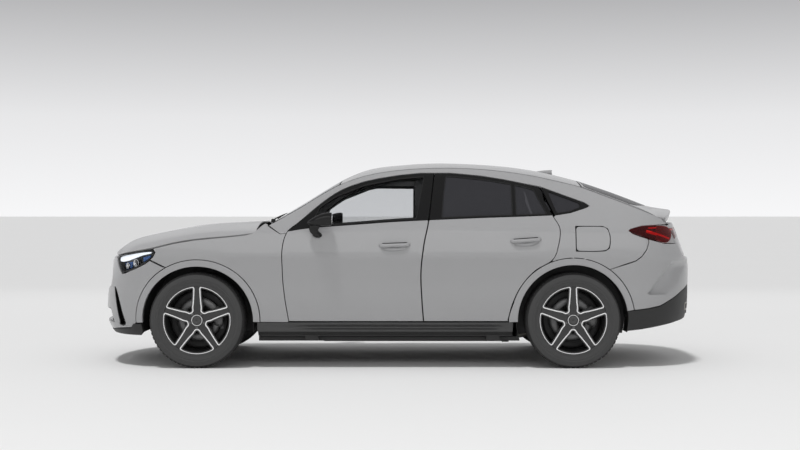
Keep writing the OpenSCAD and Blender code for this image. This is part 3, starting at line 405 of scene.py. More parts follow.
class Form:
    """Points, faces and finishes of one piece, in millimetres."""

    def __init__(self):
        self.points = []
        self.faces = []
        self.finish = []
        self.normals = []
        self.count = 0

    def add(self, points, faces, finish, normals=None):
        points = np.asarray(points, float).reshape(-1, 3)
        self.points.append(points)
        self.normals.append(np.zeros_like(points) if normals is None else normals)
        for f in faces:
            self.faces.append(tuple(int(k) + self.count for k in f))
        self.finish += [finish] * len(faces)
        self.count += len(points)

    def shell(self, surface, loops, finish, back=None, step=26.0, radius=2.2, depth=16.0, lines=(),
              tight=1.0):
        """Closed panel over outlines on a surface, with a rounded rim; the depth may vary over it."""
        loops = [even(loop, step * 0.8) for loop in loops]
        loops = [loop if (area(loop) > 0) == (k == 0) else loop[::-1] for k, loop in enumerate(loops)]
        rings = [(radius + 3.5 * tight, 0), (radius, 0), (radius * 0.5, radius * 0.134),
                 (radius * 0.134, radius * 0.5), (0, radius), (0, None)]
        spots, tris, place = fill([inset(loop, rings[0][0]) for loop in loops], step, lines)
        point, way = surface
        n = outward(surface, spots)
        top = point(spots[:, 0], spots[:, 1])
        total = len(spots)
        deep = depth if callable(depth) else (lambda spread: np.full(len(spread), depth))
        points = [top, top - n * deep(spots)[:, None]]
        normals = [n, -n]
        faces = [tuple(t) for t in tris]
        under = [(t[2] + total, t[1] + total, t[0] + total) for t in tris]
        rim = []
        start = 2 * total
        offset = 0
        for loop in loops:
            m = len(loop)
            last = [place[offset + i] for i in range(m)]
            first = list(last)
            offset += m
            for k, (a, b) in enumerate(rings[1:]):
                ring = inset(loop, a) if a > 0 else loop
                rn = outward(surface, ring)
                fall = deep(ring)[:, None] if b is None else b
                points.append(point(ring[:, 0], ring[:, 1]) - rn * fall)
                normals.append(rn if k == 0 else np.zeros_like(rn))
                now = list(range(start, start + m))
                start += m
                rim += [(last[i], now[i], now[(i + 1) % m], last[(i + 1) % m]) for i in range(m)]
                last = now
            rim += [(last[i], first[i] + total, first[(i + 1) % m] + total,
                     last[(i + 1) % m]) for i in range(m)]
        if way < 0:
            faces = [f[::-1] for f in faces]
            under = [f[::-1] for f in under]
            rim = [f[::-1] for f in rim]
        self.add(np.concatenate(points), faces + rim + under, finish, np.concatenate(normals))
        if back is not None:
            self.finish[-len(under):] = [back] * len(under)

    def tube(self, path, radius, finish, sides=10, flat=1.0, closed=False, normal=(0, 0, 1)):
        """Rod along a path, with round ends closed."""
        path = np.asarray(path, float)
        n = len(path)
        if closed:
            ahead = np.roll(path, -1, 0) - np.roll(path, 1, 0)
        else:
            ahead = np.gradient(path, axis=0)
        ahead /= np.linalg.norm(ahead, axis=1, keepdims=True)
        up = np.asarray(normal, float)
        across = np.cross(ahead, up)
        across /= np.maximum(np.linalg.norm(across, axis=1, keepdims=True), 1e-9)
        up = np.cross(across, ahead)
        r = np.broadcast_to(np.asarray(radius, float), (n,))
        a = np.linspace(0, 2 * math.pi, sides, endpoint=False)
        points = (path[:, None] + across[:, None] * (np.cos(a)[None, :, None] * r[:, None, None])
                  + up[:, None] * (np.sin(a)[None, :, None] * r[:, None, None] * flat)).reshape(-1, 3)
        faces = []
        for i in range(n if closed else n - 1):
            j = (i + 1) % n
            for k in range(sides):
                m = (k + 1) % sides
                faces.append((i * sides + k, j * sides + k, j * sides + m, i * sides + m))
        if not closed:
            faces.append(tuple(range(sides)))
            faces.append(tuple((n - 1) * sides + k for k in reversed(range(sides))))
        self.add(points, faces, finish)

    def spin(self, profile, finish, place, turn, sides=64, closed=True):
        """Solid of revolution: profile rows are radius and distance along the axis."""
        p = np.asarray(profile, float)
        labels = [finish] * len(p) if isinstance(finish, str) else list(finish)
        n = len(p)
        if closed and area(p) < 0:
            p = p[::-1]
            labels = [labels[n - 2 - k] for k in range(n)]
        a = np.linspace(0, 2 * math.pi, sides, endpoint=False)
        local = np.stack([p[None, :, 0] * np.cos(a)[:, None], p[None, :, 0] * np.sin(a)[:, None],
                          np.broadcast_to(p[None, :, 1], (sides, n))], -1).reshape(-1, 3)
        points = local @ np.asarray(turn, float).T + np.asarray(place, float)
        faces = []
        for i in range(sides):
            j = (i + 1) % sides
            for k in range(n if closed else n - 1):
                m = (k + 1) % n
                faces.append((i * n + k, j * n + k, j * n + m, i * n + m))
        self.add(points, faces, labels[0])
        self.finish[-len(faces):] = labels * sides if closed else labels[:-1] * sides

    def grid(self, points, finish, closed_u=False, closed_v=False):
        """Sheet of quads over a grid of points."""
        points = np.asarray(points, float)
        n, m = points.shape[:2]
        faces = []
        for i in range(n if closed_u else n - 1):
            for j in range(m if closed_v else m - 1):
                a = (i + 1) % n
                b = (j + 1) % m
                faces.append((i * m + j, a * m + j, a * m + b, i * m + b))
        self.add(points.reshape(-1, 3), faces, finish)

    def block(self, low, high, finish, bevel=6.0):
        """Box with chamfered edges."""
        low = np.asarray(low, float)
        high = np.asarray(high, float)
        b = min(bevel, 0.45 * float(np.min(high - low)))
        points = []
        for k in (0, 1):
            for d in ((b, 0.0), (0.0, b)):
                z = (low[2] + d[1]) if k == 0 else (high[2] - (b - d[1]))
                shrink = (b, 0.0)[int(d[1] > 0)] if k == 0 else (0.0, b)[int(d[1] > 0)]
                x0, x1 = low[0] + shrink, high[0] - shrink
                y0, y1 = low[1] + shrink, high[1] - shrink
                points.append([(x0 + b, y0, z), (x1 - b, y0, z), (x1, y0 + b, z), (x1, y1 - b, z),
                               (x1 - b, y1, z), (x0 + b, y1, z), (x0, y1 - b, z), (x0, y0 + b, z)])
        faces = [tuple(reversed(range(8))), tuple(range(24, 32))]
        for k in range(3):
            for i in range(8):
                j = (i + 1) % 8
                faces.append((k * 8 + i, k * 8 + j, k * 8 + 8 + j, k * 8 + 8 + i))
        self.add(np.array(points).reshape(-1, 3), faces, finish)

    def turned(self, matrix, place):
        """Everything so far, turned and moved."""
        m = np.asarray(matrix, float)
        self.points = [p @ m.T + np.asarray(place, float) for p in self.points]
        self.normals = [n @ m.T for n in self.normals]

    def mirrored(self):
        """Copy on the other side of the middle."""
        other = Form()
        flip = np.array([1.0, -1.0, 1.0])
        other.points = [p * flip for p in self.points]
        other.normals = [n * flip for n in self.normals]
        other.faces = [f[::-1] for f in self.faces]
        other.finish = list(self.finish)
        other.count = self.count
        return other

    def join(self, other):
        """Takes another form's faces in."""
        for f in other.faces:
            self.faces.append(tuple(k + self.count for k in f))
        self.points += other.points
        self.normals += other.normals
        self.finish += other.finish
        self.count += other.count

    def make(self, name, body, slot, nodes=(), angle=34.0):
        """Finished piece on its body."""
        names = sorted(set(self.finish))
        mesh = bpy.data.meshes.new(name)
        points = np.concatenate(self.points) * MM
        mesh.from_pydata(points.tolist(), [], self.faces)
        for label in names:
            mesh.materials.append(FINISHES[label])
        index = {label: k for k, label in enumerate(names)}
        mesh.polygons.foreach_set("material_index", [index[label] for label in self.finish])
        mesh.polygons.foreach_set("use_smooth", [True] * len(self.faces))
        mesh.validate()
        mesh.update()
        mesh.set_sharp_from_angle(angle=math.radians(angle))
        normals = np.concatenate(self.normals)
        if np.any(normals) and len(mesh.vertices) == len(normals):
            mesh.normals_split_custom_set_from_vertices(normals.tolist())
        piece = bpy.data.objects.new(name, mesh)
        bpy.context.scene.collection.objects.link(piece)
        settle(piece, body, nodes)
        return piece


def settle(piece, body, nodes=()):
    """Puts a piece on its body and hides the parts it stands for."""
    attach(piece, body)
    if nodes:
        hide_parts(*nodes)


class Value:
    """Shader value that takes part in sums."""

    def __init__(self, tree, socket):
        self.tree = tree
        self.socket = socket

    def sum(self, operation, first, second):
        node = self.tree.nodes.new("ShaderNodeMath")
        node.operation = operation
        for slot, item in zip(node.inputs, (first, second)):
            if isinstance(item, Value):
                self.tree.links.new(item.socket, slot)
            else:
                slot.default_value = item
        return Value(self.tree, node.outputs[0])

    def __add__(self, other):
        return self.sum("ADD", self, other)

    __radd__ = __add__

    def __sub__(self, other):
        return self.sum("SUBTRACT", self, other)

    def __rsub__(self, other):
        return self.sum("SUBTRACT", other, self)

    def __mul__(self, other):
        return self.sum("MULTIPLY", self, other)

    __rmul__ = __mul__

    def __pow__(self, other):
        return self.sum("POWER", self, other)


class Finish:
    """Material whose look comes from nodes."""

    def __init__(self, name, **sockets):
        self.material = bpy.data.materials.new(name)
        self.material.use_nodes = True
        self.tree = self.material.node_tree
        self.shader = self.tree.nodes["Principled BSDF"]
        for key, item in sockets.items():
            self.shader.inputs[key.replace("_", " ")].default_value = item
        self.place = self.node("ShaderNodeTexCoord").outputs["Object"]

    def node(self, kind, settings=None, inputs=None):
        """New node: its settings first, then its sockets."""
        node = self.tree.nodes.new(kind)
        for key, item in (settings or {}).items():
            setattr(node, key, item)
        for key, item in (inputs or {}).items():
            slot = node.inputs[key]
            if isinstance(item, Value):
                self.tree.links.new(item.socket, slot)
            elif isinstance(item, bpy.types.NodeSocket):
                self.tree.links.new(item, slot)
            else:
                slot.default_value = item
        return node

    def noise(self, scale, detail=4.0, stretch=(1, 1, 1)):
        """Noise in object space."""
        spread = self.node("ShaderNodeMapping", None, {"Vector": self.place, "Scale": stretch})
        node = self.node("ShaderNodeTexNoise", None,
                         {"Vector": spread.outputs[0], "Scale": scale, "Detail": detail})
        return Value(self.tree, node.outputs["Fac"])

    def cells(self, scale):
        """Distance within cells, for leather and flakes."""
        node = self.node("ShaderNodeTexVoronoi", None, {"Vector": self.place, "Scale": scale})
        return Value(self.tree, node.outputs["Distance"])

    def blend(self, first, second, share):
        """Two colours mixed over the surface into the base colour."""
        node = self.node("ShaderNodeMix", {"data_type": "RGBA"},
                         {0: share, 6: (*first, 1.0), 7: (*second, 1.0)})
        self.tree.links.new(node.outputs[2], self.shader.inputs["Base Color"])

    def feed(self, socket, item):
        self.tree.links.new(item.socket, self.shader.inputs[socket])

    def relief(self, height, strength, distance):
        """Small unevenness of the surface."""
        node = self.node("ShaderNodeBump", None, {"Height": height, "Strength": strength,
                                                  "Distance": distance})
        self.tree.links.new(node.outputs[0], self.shader.inputs["Normal"])


FINISHES = {}


def solid(label, first, second, scale, rough, spread, strength=0.0, fine=200.0, stretch=(1, 1, 1), **sockets):
    """Opaque finish with uneven colour, gloss and relief."""
    finish = Finish(label, **sockets)
    patch = finish.noise(scale, 5.0, stretch)
    finish.blend(first, second, patch)
    finish.feed("Roughness", rough + spread * (patch - 0.5))
    if strength:
        finish.relief(finish.noise(fine, 3.0, stretch), strength, 0.0006)
    FINISHES[label] = finish.material
    return finish


def pane(label, tint, gloss, share, colour=(0.02, 0.02, 0.02), edge=0.9):
    """Thin glass: a tint to look through, under a glossy face."""
    finish = Finish(label, Base_Color=(*colour, 1.0), Roughness=gloss)
    finish.shader.inputs["Coat Weight"].default_value = edge
    finish.shader.inputs["Coat Roughness"].default_value = 0.01
    finish.shader.inputs["Specular IOR Level"].default_value = 0.5 * edge
    clear = finish.node("ShaderNodeBsdfTransparent", None, {"Color": (*tint, 1.0)})
    rim = Value(finish.tree, finish.node("ShaderNodeFresnel", None, {"IOR": 1.45}).outputs[0])
    film = finish.noise(6.0, 3.0)
    inner = Value(finish.tree, finish.node("ShaderNodeNewGeometry").outputs["Backfacing"])
    amount = (share + edge * rim + 0.02 * film) * (1 - inner)
    mixed = finish.node("ShaderNodeMixShader", None, {"Fac": amount})
    finish.tree.links.new(clear.outputs[0], mixed.inputs[1])
    finish.tree.links.new(finish.shader.outputs[0], mixed.inputs[2])
    finish.tree.links.new(mixed.outputs[0], finish.tree.nodes["Material Output"].inputs["Surface"])
    FINISHES[label] = finish.material


def glow(label, first, second, strength):
    """Lit lens of a lamp."""
    finish = Finish(label, Roughness=0.2, Emission_Strength=strength)
    share = finish.noise(90.0, 2.0)
    finish.blend(first, second, share)
    node = finish.node("ShaderNodeMix", {"data_type": "RGBA"},
                       {0: share, 6: (*first, 1.0), 7: (*second, 1.0)})
    finish.tree.links.new(node.outputs[2], finish.shader.inputs["Emission Color"])
    FINISHES[label] = finish.material


def grey(v):
    return (v, v, v)


def mix_finishes(settings):
    """All finishes of the vehicle."""
    paint = tuple(settings.paint)
    trim = tuple(settings.trim)
    hide = tuple(settings.leather)
    body = solid("paint", paint, tuple(0.95 * c for c in paint), 1.4, 0.36, 0.05, Coat_Weight=0.45,
                 Coat_Roughness=0.06, Specular_IOR_Level=0.4)
    body.relief(body.cells(2600.0), 0.02, 0.0002)
    solid("gloss_black", grey(0.004), grey(0.006), 5.0, 0.14, 0.06, Specular_IOR_Level=0.35)
    solid("black_plastic", trim, tuple(1.5 * c for c in trim), 14.0, 0.55, 0.12, 0.35, 900.0)
    solid("dark_trim", grey(0.05), grey(0.042), 10.0, 0.42, 0.1, 0.1, 900.0, Coat_Weight=0.15)
    # Black rubber for seals and wiper blades, also used under the sills as painted shade.
    solid("seal", grey(0.007), grey(0.011), 20.0, 0.65, 0.1, 0.2, 700.0)
    pane("clear_glass", (0.90, 0.905, 0.91), 0.02, 0.03)
    pane("privacy_glass", (0.30, 0.30, 0.31), 0.1, 0.66, (0.056, 0.056, 0.062), 0.04)
    pane("lamp_glass", (0.97, 0.975, 0.98), 0.02, 0.01)
    pane("red_glass", (0.66, 0.13, 0.12), 0.05, 0.2, (0.13, 0.008, 0.009))
    glow("lamp_white", (0.95, 0.97, 1.0), (0.85, 0.9, 1.0), 0.6)
    glow("lamp_red", (0.9, 0.12, 0.1), (0.7, 0.07, 0.06), 0.8)
    glow("lamp_blue", (0.05, 0.13, 0.34), (0.02, 0.05, 0.16), 0.3)
    solid("lamp_black", grey(0.012), grey(0.02), 25.0, 0.3, 0.1)
    solid("bright_metal", grey(0.72), grey(0.62), 30.0, 0.16, 0.1, Metallic=1.0)
    solid("alloy_dark", grey(0.03), grey(0.04), 9.0, 0.34, 0.08, 0.05, 1500.0, Metallic=0.5, Coat_Weight=0.35)
    solid("alloy_bright", grey(0.9), grey(0.8), 60.0, 0.36, 0.12, Metallic=0.8)
    solid("rubber", grey(0.044), grey(0.055), 8.0, 0.7, 0.14, 0.3, 420.0)
    solid("tread", grey(0.014), grey(0.02), 8.0, 0.75, 0.14, 0.3, 420.0)
    solid("disc_steel", grey(0.16), grey(0.11), 26.0, 0.36, 0.16, 0.2, 300.0, Metallic=1.0)
    solid("caliper", grey(0.15), grey(0.12), 18.0, 0.45, 0.12, 0.3, 260.0, Metallic=0.6)
    solid("chassis_metal", grey(0.07), grey(0.11), 7.0, 0.55, 0.2, 0.35, 120.0, Metallic=0.5)
    solid("underbody", grey(0.02), grey(0.034), 5.0, 0.75, 0.14, 0.5, 160.0)
    solid("exhaust_steel", (0.42, 0.40, 0.37), (0.28, 0.26, 0.24), 12.0, 0.34, 0.2, Metallic=1.0)
    solid("cabin_plastic", grey(0.024), grey(0.034), 12.0, 0.6, 0.1, 0.45, 800.0)
    solid("cabin_trim", grey(0.2), grey(0.17), 8.0, 0.75, 0.1, 0.35, 700.0)
    solid("headliner", grey(0.36), grey(0.32), 30.0, 0.9, 0.06, 0.5, 1200.0)
    solid("carpet", grey(0.016), grey(0.03), 60.0, 0.95, 0.05, 0.9, 900.0)
    hide_finish = solid("leather", hide, tuple(1.35 * c for c in hide), 6.0, 0.48, 0.14, Sheen_Weight=0.1)
    hide_finish.relief(hide_finish.cells(420.0), 0.35, 0.0008)
    solid("thread", grey(0.16), grey(0.12), 90.0, 0.8, 0.1)
    solid("screen", grey(0.004), (0.008, 0.01, 0.014), 6.0, 0.08, 0.04, Coat_Weight=1.0)
    solid("blank_plate", grey(0.74), grey(0.68), 20.0, 0.45, 0.1)


def repeated(name, spots, aims, size, finish, sides=4):
    """Like small solids set on points by geometry nodes, as one plain mesh."""
    host = bpy.data.meshes.new(name + "_points")
    host.from_pydata((np.asarray(spots, float) * MM).tolist(), [], [])
    aim = host.attributes.new("aim", "FLOAT_VECTOR", "POINT")
    aim.data.foreach_set("vector", np.asarray(aims, float).ravel())
    piece = bpy.data.objects.new(name, host)
    bpy.context.scene.collection.objects.link(piece)
    tree = bpy.data.node_groups.new(name + "_rule", "GeometryNodeTree")
    tree.interface.new_socket("Points", in_out="INPUT", socket_type="NodeSocketGeometry")
    inputs = {}
    for label in ("Length", "Width", "Height"):
        inputs[label] = tree.interface.new_socket(label, in_out="INPUT",
                                                  socket_type="NodeSocketFloat").identifier
    inputs["Finish"] = tree.interface.new_socket("Finish", in_out="INPUT",
                                                 socket_type="NodeSocketMaterial").identifier
    tree.interface.new_socket("Pieces", in_out="OUTPUT", socket_type="NodeSocketGeometry")
    start = tree.nodes.new("NodeGroupInput")
    end = tree.nodes.new("NodeGroupOutput")
    bodies = tree.nodes.new("GeometryNodeMeshCube" if sides == 4 else "GeometryNodeMeshCylinder")
    link = tree.links.new
    if sides == 4:
        join = tree.nodes.new("ShaderNodeCombineXYZ")
        for k, label in enumerate(("Length", "Width", "Height")):
            link(start.outputs[label], join.inputs[k])
        link(join.outputs[0], bodies.inputs["Size"])
        axis = "X"
    else:
        bodies.inputs["Vertices"].default_value = sides
        link(start.outputs["Width"], bodies.inputs["Radius"])
        link(start.outputs["Length"], bodies.inputs["Depth"])
        axis = "Z"
    named = tree.nodes.new("GeometryNodeInputNamedAttribute")
    named.data_type = "FLOAT_VECTOR"
    named.inputs["Name"].default_value = "aim"
    align = tree.nodes.new("FunctionNodeAlignRotationToVector")
    align.axis = axis
    link(named.outputs["Attribute"], align.inputs["Vector"])
    put = tree.nodes.new("GeometryNodeInstanceOnPoints")
    link(start.outputs["Points"], put.inputs["Points"])
    link(bodies.outputs["Mesh"], put.inputs["Instance"])
    link(align.outputs["Rotation"], put.inputs["Rotation"])
    real = tree.nodes.new("GeometryNodeRealizeInstances")
    link(put.outputs["Instances"], real.inputs["Geometry"])
    coat = tree.nodes.new("GeometryNodeSetMaterial")
    link(real.outputs["Geometry"], coat.inputs["Geometry"])
    link(start.outputs["Finish"], coat.inputs["Material"])
    link(coat.outputs["Geometry"], end.inputs["Pieces"])
    rule = piece.modifiers.new("rule", "NODES")
    rule.node_group = tree
    for label, item in zip(("Length", "Width", "Height"), size):
        rule[inputs[label]] = item * MM
    rule[inputs["Finish"]] = FINISHES[finish]
    made = bpy.data.meshes.new_from_object(piece.evaluated_get(bpy.context.evaluated_depsgraph_get()))
    made.name = name
    piece.modifiers.clear()
    piece.data = made
    bpy.data.meshes.remove(host)
    return piece


BODY = "body"


def door_sides(lead, trail, shift=0.0):
    """Outline of a door below the belt and of its window frame above it."""
    z = np.linspace(361, 1500, 90)
    front = np.stack([curve(lead, z) + shift, z], -1)
    rear = np.stack([curve(trail, z), z], -1)
    under_f = front[front[:, 1] < curve(BELT, front[:, 0])]
    under_r = rear[rear[:, 1] < curve(BELT, rear[:, 0])]
    x = np.linspace(under_f[-1, 0] + 4, under_r[-1, 0] - 4, 60)
    belt = np.stack([x, curve(BELT, x)], -1)
    panel = np.concatenate([under_f, belt, under_r[::-1]])
    over_f = front[front[:, 1] > curve(BELT, front[:, 0]) + 3]
    over_r = rear[rear[:, 1] > curve(BELT, rear[:, 0]) + 3]
    sash = np.concatenate([over_f, over_r[::-1], belt[::-1] + [0, 3]])
    return panel, sash


def card_skin(sign, depth):
    """Inner face of a door, bulging towards the cabin."""
    def point(x, z):
        y = half(x, np.minimum(z, 1060.0)) - depth + 16 * np.cos((z - 700) / 110) * ease(z, 450, 560)
        return np.stack([x, sign * y, z], -1)
    return point, sign


def oval(cx, cz, rx, rz, tilt=0.0, n=36):
    """Upright oval outline."""
    a = np.linspace(0, 2 * math.pi, n, endpoint=False)
    x = rx * np.sign(np.cos(a)) * np.abs(np.cos(a)) ** 0.8
    z = rz * np.sin(a)
    t = math.radians(tilt)
    return np.stack([cx + x * math.cos(t) - z * math.sin(t), cz + x * math.sin(t) + z * math.cos(t)], -1)


def handle(form, cx, cz, tilt):
    """Door handle bar over its hollow."""
    bowl = oval(cx, cz - 6, 104, 33, tilt)

    def hollow(x, z):
        reach = ((x - cx) / 104) ** 2 + ((z - cz + 6) / 33) ** 2
        y = half(x, z) + ridge(x, z) - 3 - 16 * np.maximum(1 - reach, 0)
        return np.stack([x, y, z], -1)
    form.shell((hollow, -1), [oval(cx, cz - 6, 109, 37, tilt)], "paint", step=14, radius=0.6, depth=3,
               tight=0.4)
    t = np.linspace(-1, 1, 25)
    x = cx + 112 * t
    z = cz + 8 + 112 * t * math.tan(math.radians(tilt))
    y = half(x, z) + ridge(x, z) + 17 - 20 * np.abs(t) ** 6
    form.tube(np.stack([x, y, z], -1), 11.0, "paint", sides=14, flat=1.25)
    form.tube(np.stack([x[2:-2], y[2:-2] - 6, z[2:-2] + 17], -1), 3.0, "seal", sides=8)
    return bowl


def door(form, panel, sash, panes, glass, spot, tilt):
    """Right-hand door: skin, window frame, glass, inner face and handle."""
    bowl = handle(form, spot[0], spot[1], tilt)
    crease = np.array([(-900.0, 867.0), (1300.0, 867.0)])
    hip = np.array([(-900.0, 1060.0), (1300.0, 1060.0)])
    form.shell(side_skin(1), [panel, bowl], "paint", "cabin_plastic", lines=(crease, hip))
    holes = [rounded(p, 16) for p in panes]
    form.shell(side_skin(1, -0.5), [sash, *holes], "gloss_black", "cabin_trim", step=30, radius=1.6, depth=36)
    for hole in holes:
        hole = hole if area(hole) > 0 else hole[::-1]
        form.shell(side_skin(1, -9), [inset(hole, -4)], glass, step=60, radius=0.8, depth=4.5, tight=0.5)
        form.shell(side_skin(1, -2.5), [inset(hole, -1), inset(hole, 7)], "seal", step=40, radius=1.5,
                   depth=9, tight=0.1)
    middle = panel.mean(0)
    inner = middle + (panel - middle) * [0.86, 0.8]
    form.shell(card_skin(1, 100), [inner], "cabin_plastic", step=34, radius=12, depth=78)
    x = np.linspace(inner[:, 0].min() + 180, inner[:, 0].max() - 120, 14)
    y = half(x, 760.0) - 122
    form.tube(np.stack([x, y, np.full_like(x, 770.0)], -1), 30, "leather", sides=14, flat=0.7)
    form.tube(np.stack([x[2:5], y[2:5] - 2, np.full(3, 935.0)], -1), 9, "bright_metal", sides=10)


def hinges(form, x, finish="chassis_metal"):
    """Pins and straps of the two hinges of a door."""
    for z in (520.0, 900.0):
        form.tube([(x, 890.0, z - 37), (x, 890.0, z + 37)], 7, finish, sides=16, normal=(1, 0, 0))
        for side in (-32, 32):
            form.block((x - 10, 850, z + side - 4), (x + 62, 902, z + side + 4), finish, 2)


class VEHICLE_OT_finishes(bpy.types.Operator):
    """Mixes the paint, glass, metal, rubber and cabin finishes"""
    bl_idname = "vehicle.finishes"
    bl_label = "Finishes"

    def execute(self, context):
        mix_finishes(context.scene.vehicle)
        keep = {"floor_pan": "underbody", "bulkhead": "underbody", "subframes": "chassis_metal",
                "exhaust": "exhaust_steel", "knuckle_left": "caliper", "knuckle_right": "caliper"}
        for node, label in keep.items():
            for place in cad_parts[node].material_slots:
                place.material = FINISHES[label]
        return {"FINISHED"}


class VEHICLE_OT_doors(bpy.types.Operator):
    """Four side doors with window frames, glass, inner faces and handles"""
    bl_idname = "vehicle.doors"
    bl_label = "Doors"

    def execute(self, context):
        front = Form()
        panel, sash = door_sides(FRONT_LEAD, FRONT_TRAIL)
        door(front, panel, sash, [FRONT_PANE], "clear_glass", (-8, 936), 2.0)
        hinges(front, -785.0)
        rear = Form()
        panel, sash = door_sides(FRONT_TRAIL, REAR_TRAIL, 9.0)
        door(rear, panel, sash, [REAR_PANE, REAR_PANE_B], "privacy_glass", (996, 972), 4.0)
        hinges(rear, 269.0)
        for form, name, body in ((front, "front", "door_f"), (rear, "rear", "door_r")):
            for side, letter in (("right", "r"), ("left", "l")):
                made = form if side == "right" else form.mirrored()
                made.make(f"{name}_door_{side}", body + letter, "body_paint",
                          (f"door_{name}_{side}", f"glass_{name}_{side}"))
        return {"FINISHED"}


def frame_loop():
    """Outline of the pillar, the roof rail and the rear quarter."""
    x = np.concatenate([np.linspace(-972, 1450, 110), np.linspace(1470, 2080, 30)])
    top = np.stack([x, curve(RAIL, x) - 1], -1)
    tail = [(2120, 1106), (2030, 1101), (1900, 1094), (1806, 1070), (1789, 1054), (1822, 1029), (1883, 1007),
            (1940, 990), (1947, 968), (1928, 912), (1888, 859), (1839, 825), (1760, 800)]
    wheel = arc(AXLE_R, WHEEL_Z, FLARE_R + 3, 54.5, 110, 40)
    z = np.linspace(838, 1160, 26)
    post = np.stack([curve(REAR_TRAIL, z) + 6, z], -1)
    quarter = [(1232, 1172), (1350, 1190), (1480, 1231), (1508, 1247), (1466, 1276), (1344, 1320),
               (1128, 1400)]
    z = np.array([1420.0, 1450, 1477, 1492, 1501])
    rear_top = np.stack([curve(REAR_TRAIL, z), z + 7], -1)
    z = np.array([1502.0, 1495, 1485, 1460, 1434, 1400, 1370, 1339, 1300, 1250, 1200, 1150, 1110, 1080, 1051])
    slope = np.stack([curve(FRONT_LEAD, z) - 4, z + 5], -1)
    foot = [(-838, 1036), (-884, 1031)]
    return np.concatenate([top, tail, wheel, post, quarter, rear_top, slope, foot])


def frame_depth(spots):
    """Depth of the side frame's wall, which is thin round the fuel flap."""
    away = np.hypot(spots[:, 0] - 1514, 1.2 * spots[:, 1] - 1190)
    return np.where(away < 200, 3.5, 40.0)


class VEHICLE_OT_side_frames(bpy.types.Operator):
    """Pillars, roof rails and rear quarters, with quarter windows and fuel flap"""
    bl_idname = "vehicle.side_frames"
    bl_label = "Side frames"

    def execute(self, context):
        crease = np.array([(900.0, 867.0), (1900.0, 867.0)])
        hip = np.array([(1200.0, 1060.0), (1990.0, 1060.0)])
        flap = smooth(FLAP)
        hole = rounded(FLAP_HOLE, 8)
        hole = hole if area(hole) > 0 else hole[::-1]
        pane_edge = rounded(QUARTER_PANE, 14)
        glass = Form()
        for side, sign in (("right", 1), ("left", -1)):
            form = Form()
            holes = [hole] if side == "left" else []
            form.shell(side_skin(sign), [frame_loop(), *holes], "paint", "cabin_trim", lines=(crease, hip),
                       depth=frame_depth)
            form.shell(side_skin(sign, -0.5), [rounded(QUARTER_EDGE, 8), pane_edge], "gloss_black",
                       "cabin_trim", radius=1.6, depth=30, tight=0.5)

            def post(x, z):
                y = np.minimum(775.0, half(x, z) - 52)
                return np.stack([x, sign * y, z], -1)
            column = rounded([(150, 346), (300, 346), (300, 1500), (150, 1500)], 10)
            form.shell((post, -sign), [column], "cabin_plastic", "cabin_trim", step=40, radius=3, depth=56)
            arms = Form()
            for z in (520.0, 900.0):
                arms.tube([(269, 890, z - 25), (269, 890, z + 25)], 13, "chassis_metal", sides=18,
                          normal=(1, 0, 0))
                arms.block((260, 770, z - 25), (278, 880, z + 25), "chassis_metal", 2)
            form.join(arms if side == "right" else arms.mirrored())
            if side == "left":
                form.shell(side_skin(-1, -44), [inset(hole, -12)], "black_plastic", step=30, radius=1,
                           depth=6)
                form.shell(side_skin(-1, -3.5), [inset(hole, -12), inset(hole, -9)], "black_plastic", step=30,
                           radius=0.6, depth=42, tight=0.3)
                form.spin([(0, 0), (34, 0), (34, 10), (24, 16), (24, 30), (0, 30)], "black_plastic",
                          (1520, -872, 985), ((1, 0, 0), (0, 0, -1), (0, 1, 0)), 32)
            form.make(f"side_frame_dressed_{side}", BODY, "body_paint", (f"side_frame_{side}",))
            edge = pane_edge if area(pane_edge) > 0 else pane_edge[::-1]
            glass.shell(side_skin(sign, -9), [inset(edge, -4)], "privacy_glass", step=60, radius=0.8,
                        depth=4.5, tight=0.5)
        windscreen(glass)
        glass.make("fixed_glass_dressed", BODY, "clear_glass", ("fixed_glass",))
        lid = Form()
        lid.shell(side_skin(-1), [flap], "paint", "black_plastic", radius=1.6, depth=5, lines=(hip,))
        lid.tube([(1400, -900, 955), (1400, -889, 1030)], 6, "black_plastic", sides=14)
        lid.make("fuel_flap_dressed", "fuel_flap", "body_paint", ("fuel_flap",))
        return {"FINISHED"}


def top_skin(drop=0.0, lowest=2.0):
    """Roof and windscreen over x and sideways distance, 700 at the rail."""
    def point(x, w):
        v = w / 700
        edge = curve(RAIL, x)
        rise = curve(ROOF, x) - edge - lowest
        z = edge + lowest + rise * np.maximum(1 - np.abs(v) ** 2.5, -0.1) - drop
        return np.stack([x, v * half(x, edge), z], -1)
    return point, 1


def windscreen(form):
    """Windscreen with its black border."""
    edge = rounded([(-966, -655), (-443, -676), (-436, -300), (-434, 0), (-436, 300), (-443, 676),
                    (-966, 655), (-974, 330), (-976, 0), (-974, -330)], 30)
    view = rounded([(-925, -590), (-500, -620), (-492, 0), (-500, 620), (-925, 590), (-932, 0)], 50)
    form.shell(top_skin(), [edge], "clear_glass", step=60, radius=1.0, depth=5, tight=0.5)
    form.shell(top_skin(7.0), [edge, view], "gloss_black", step=45, radius=0.8, depth=3, tight=0.5)


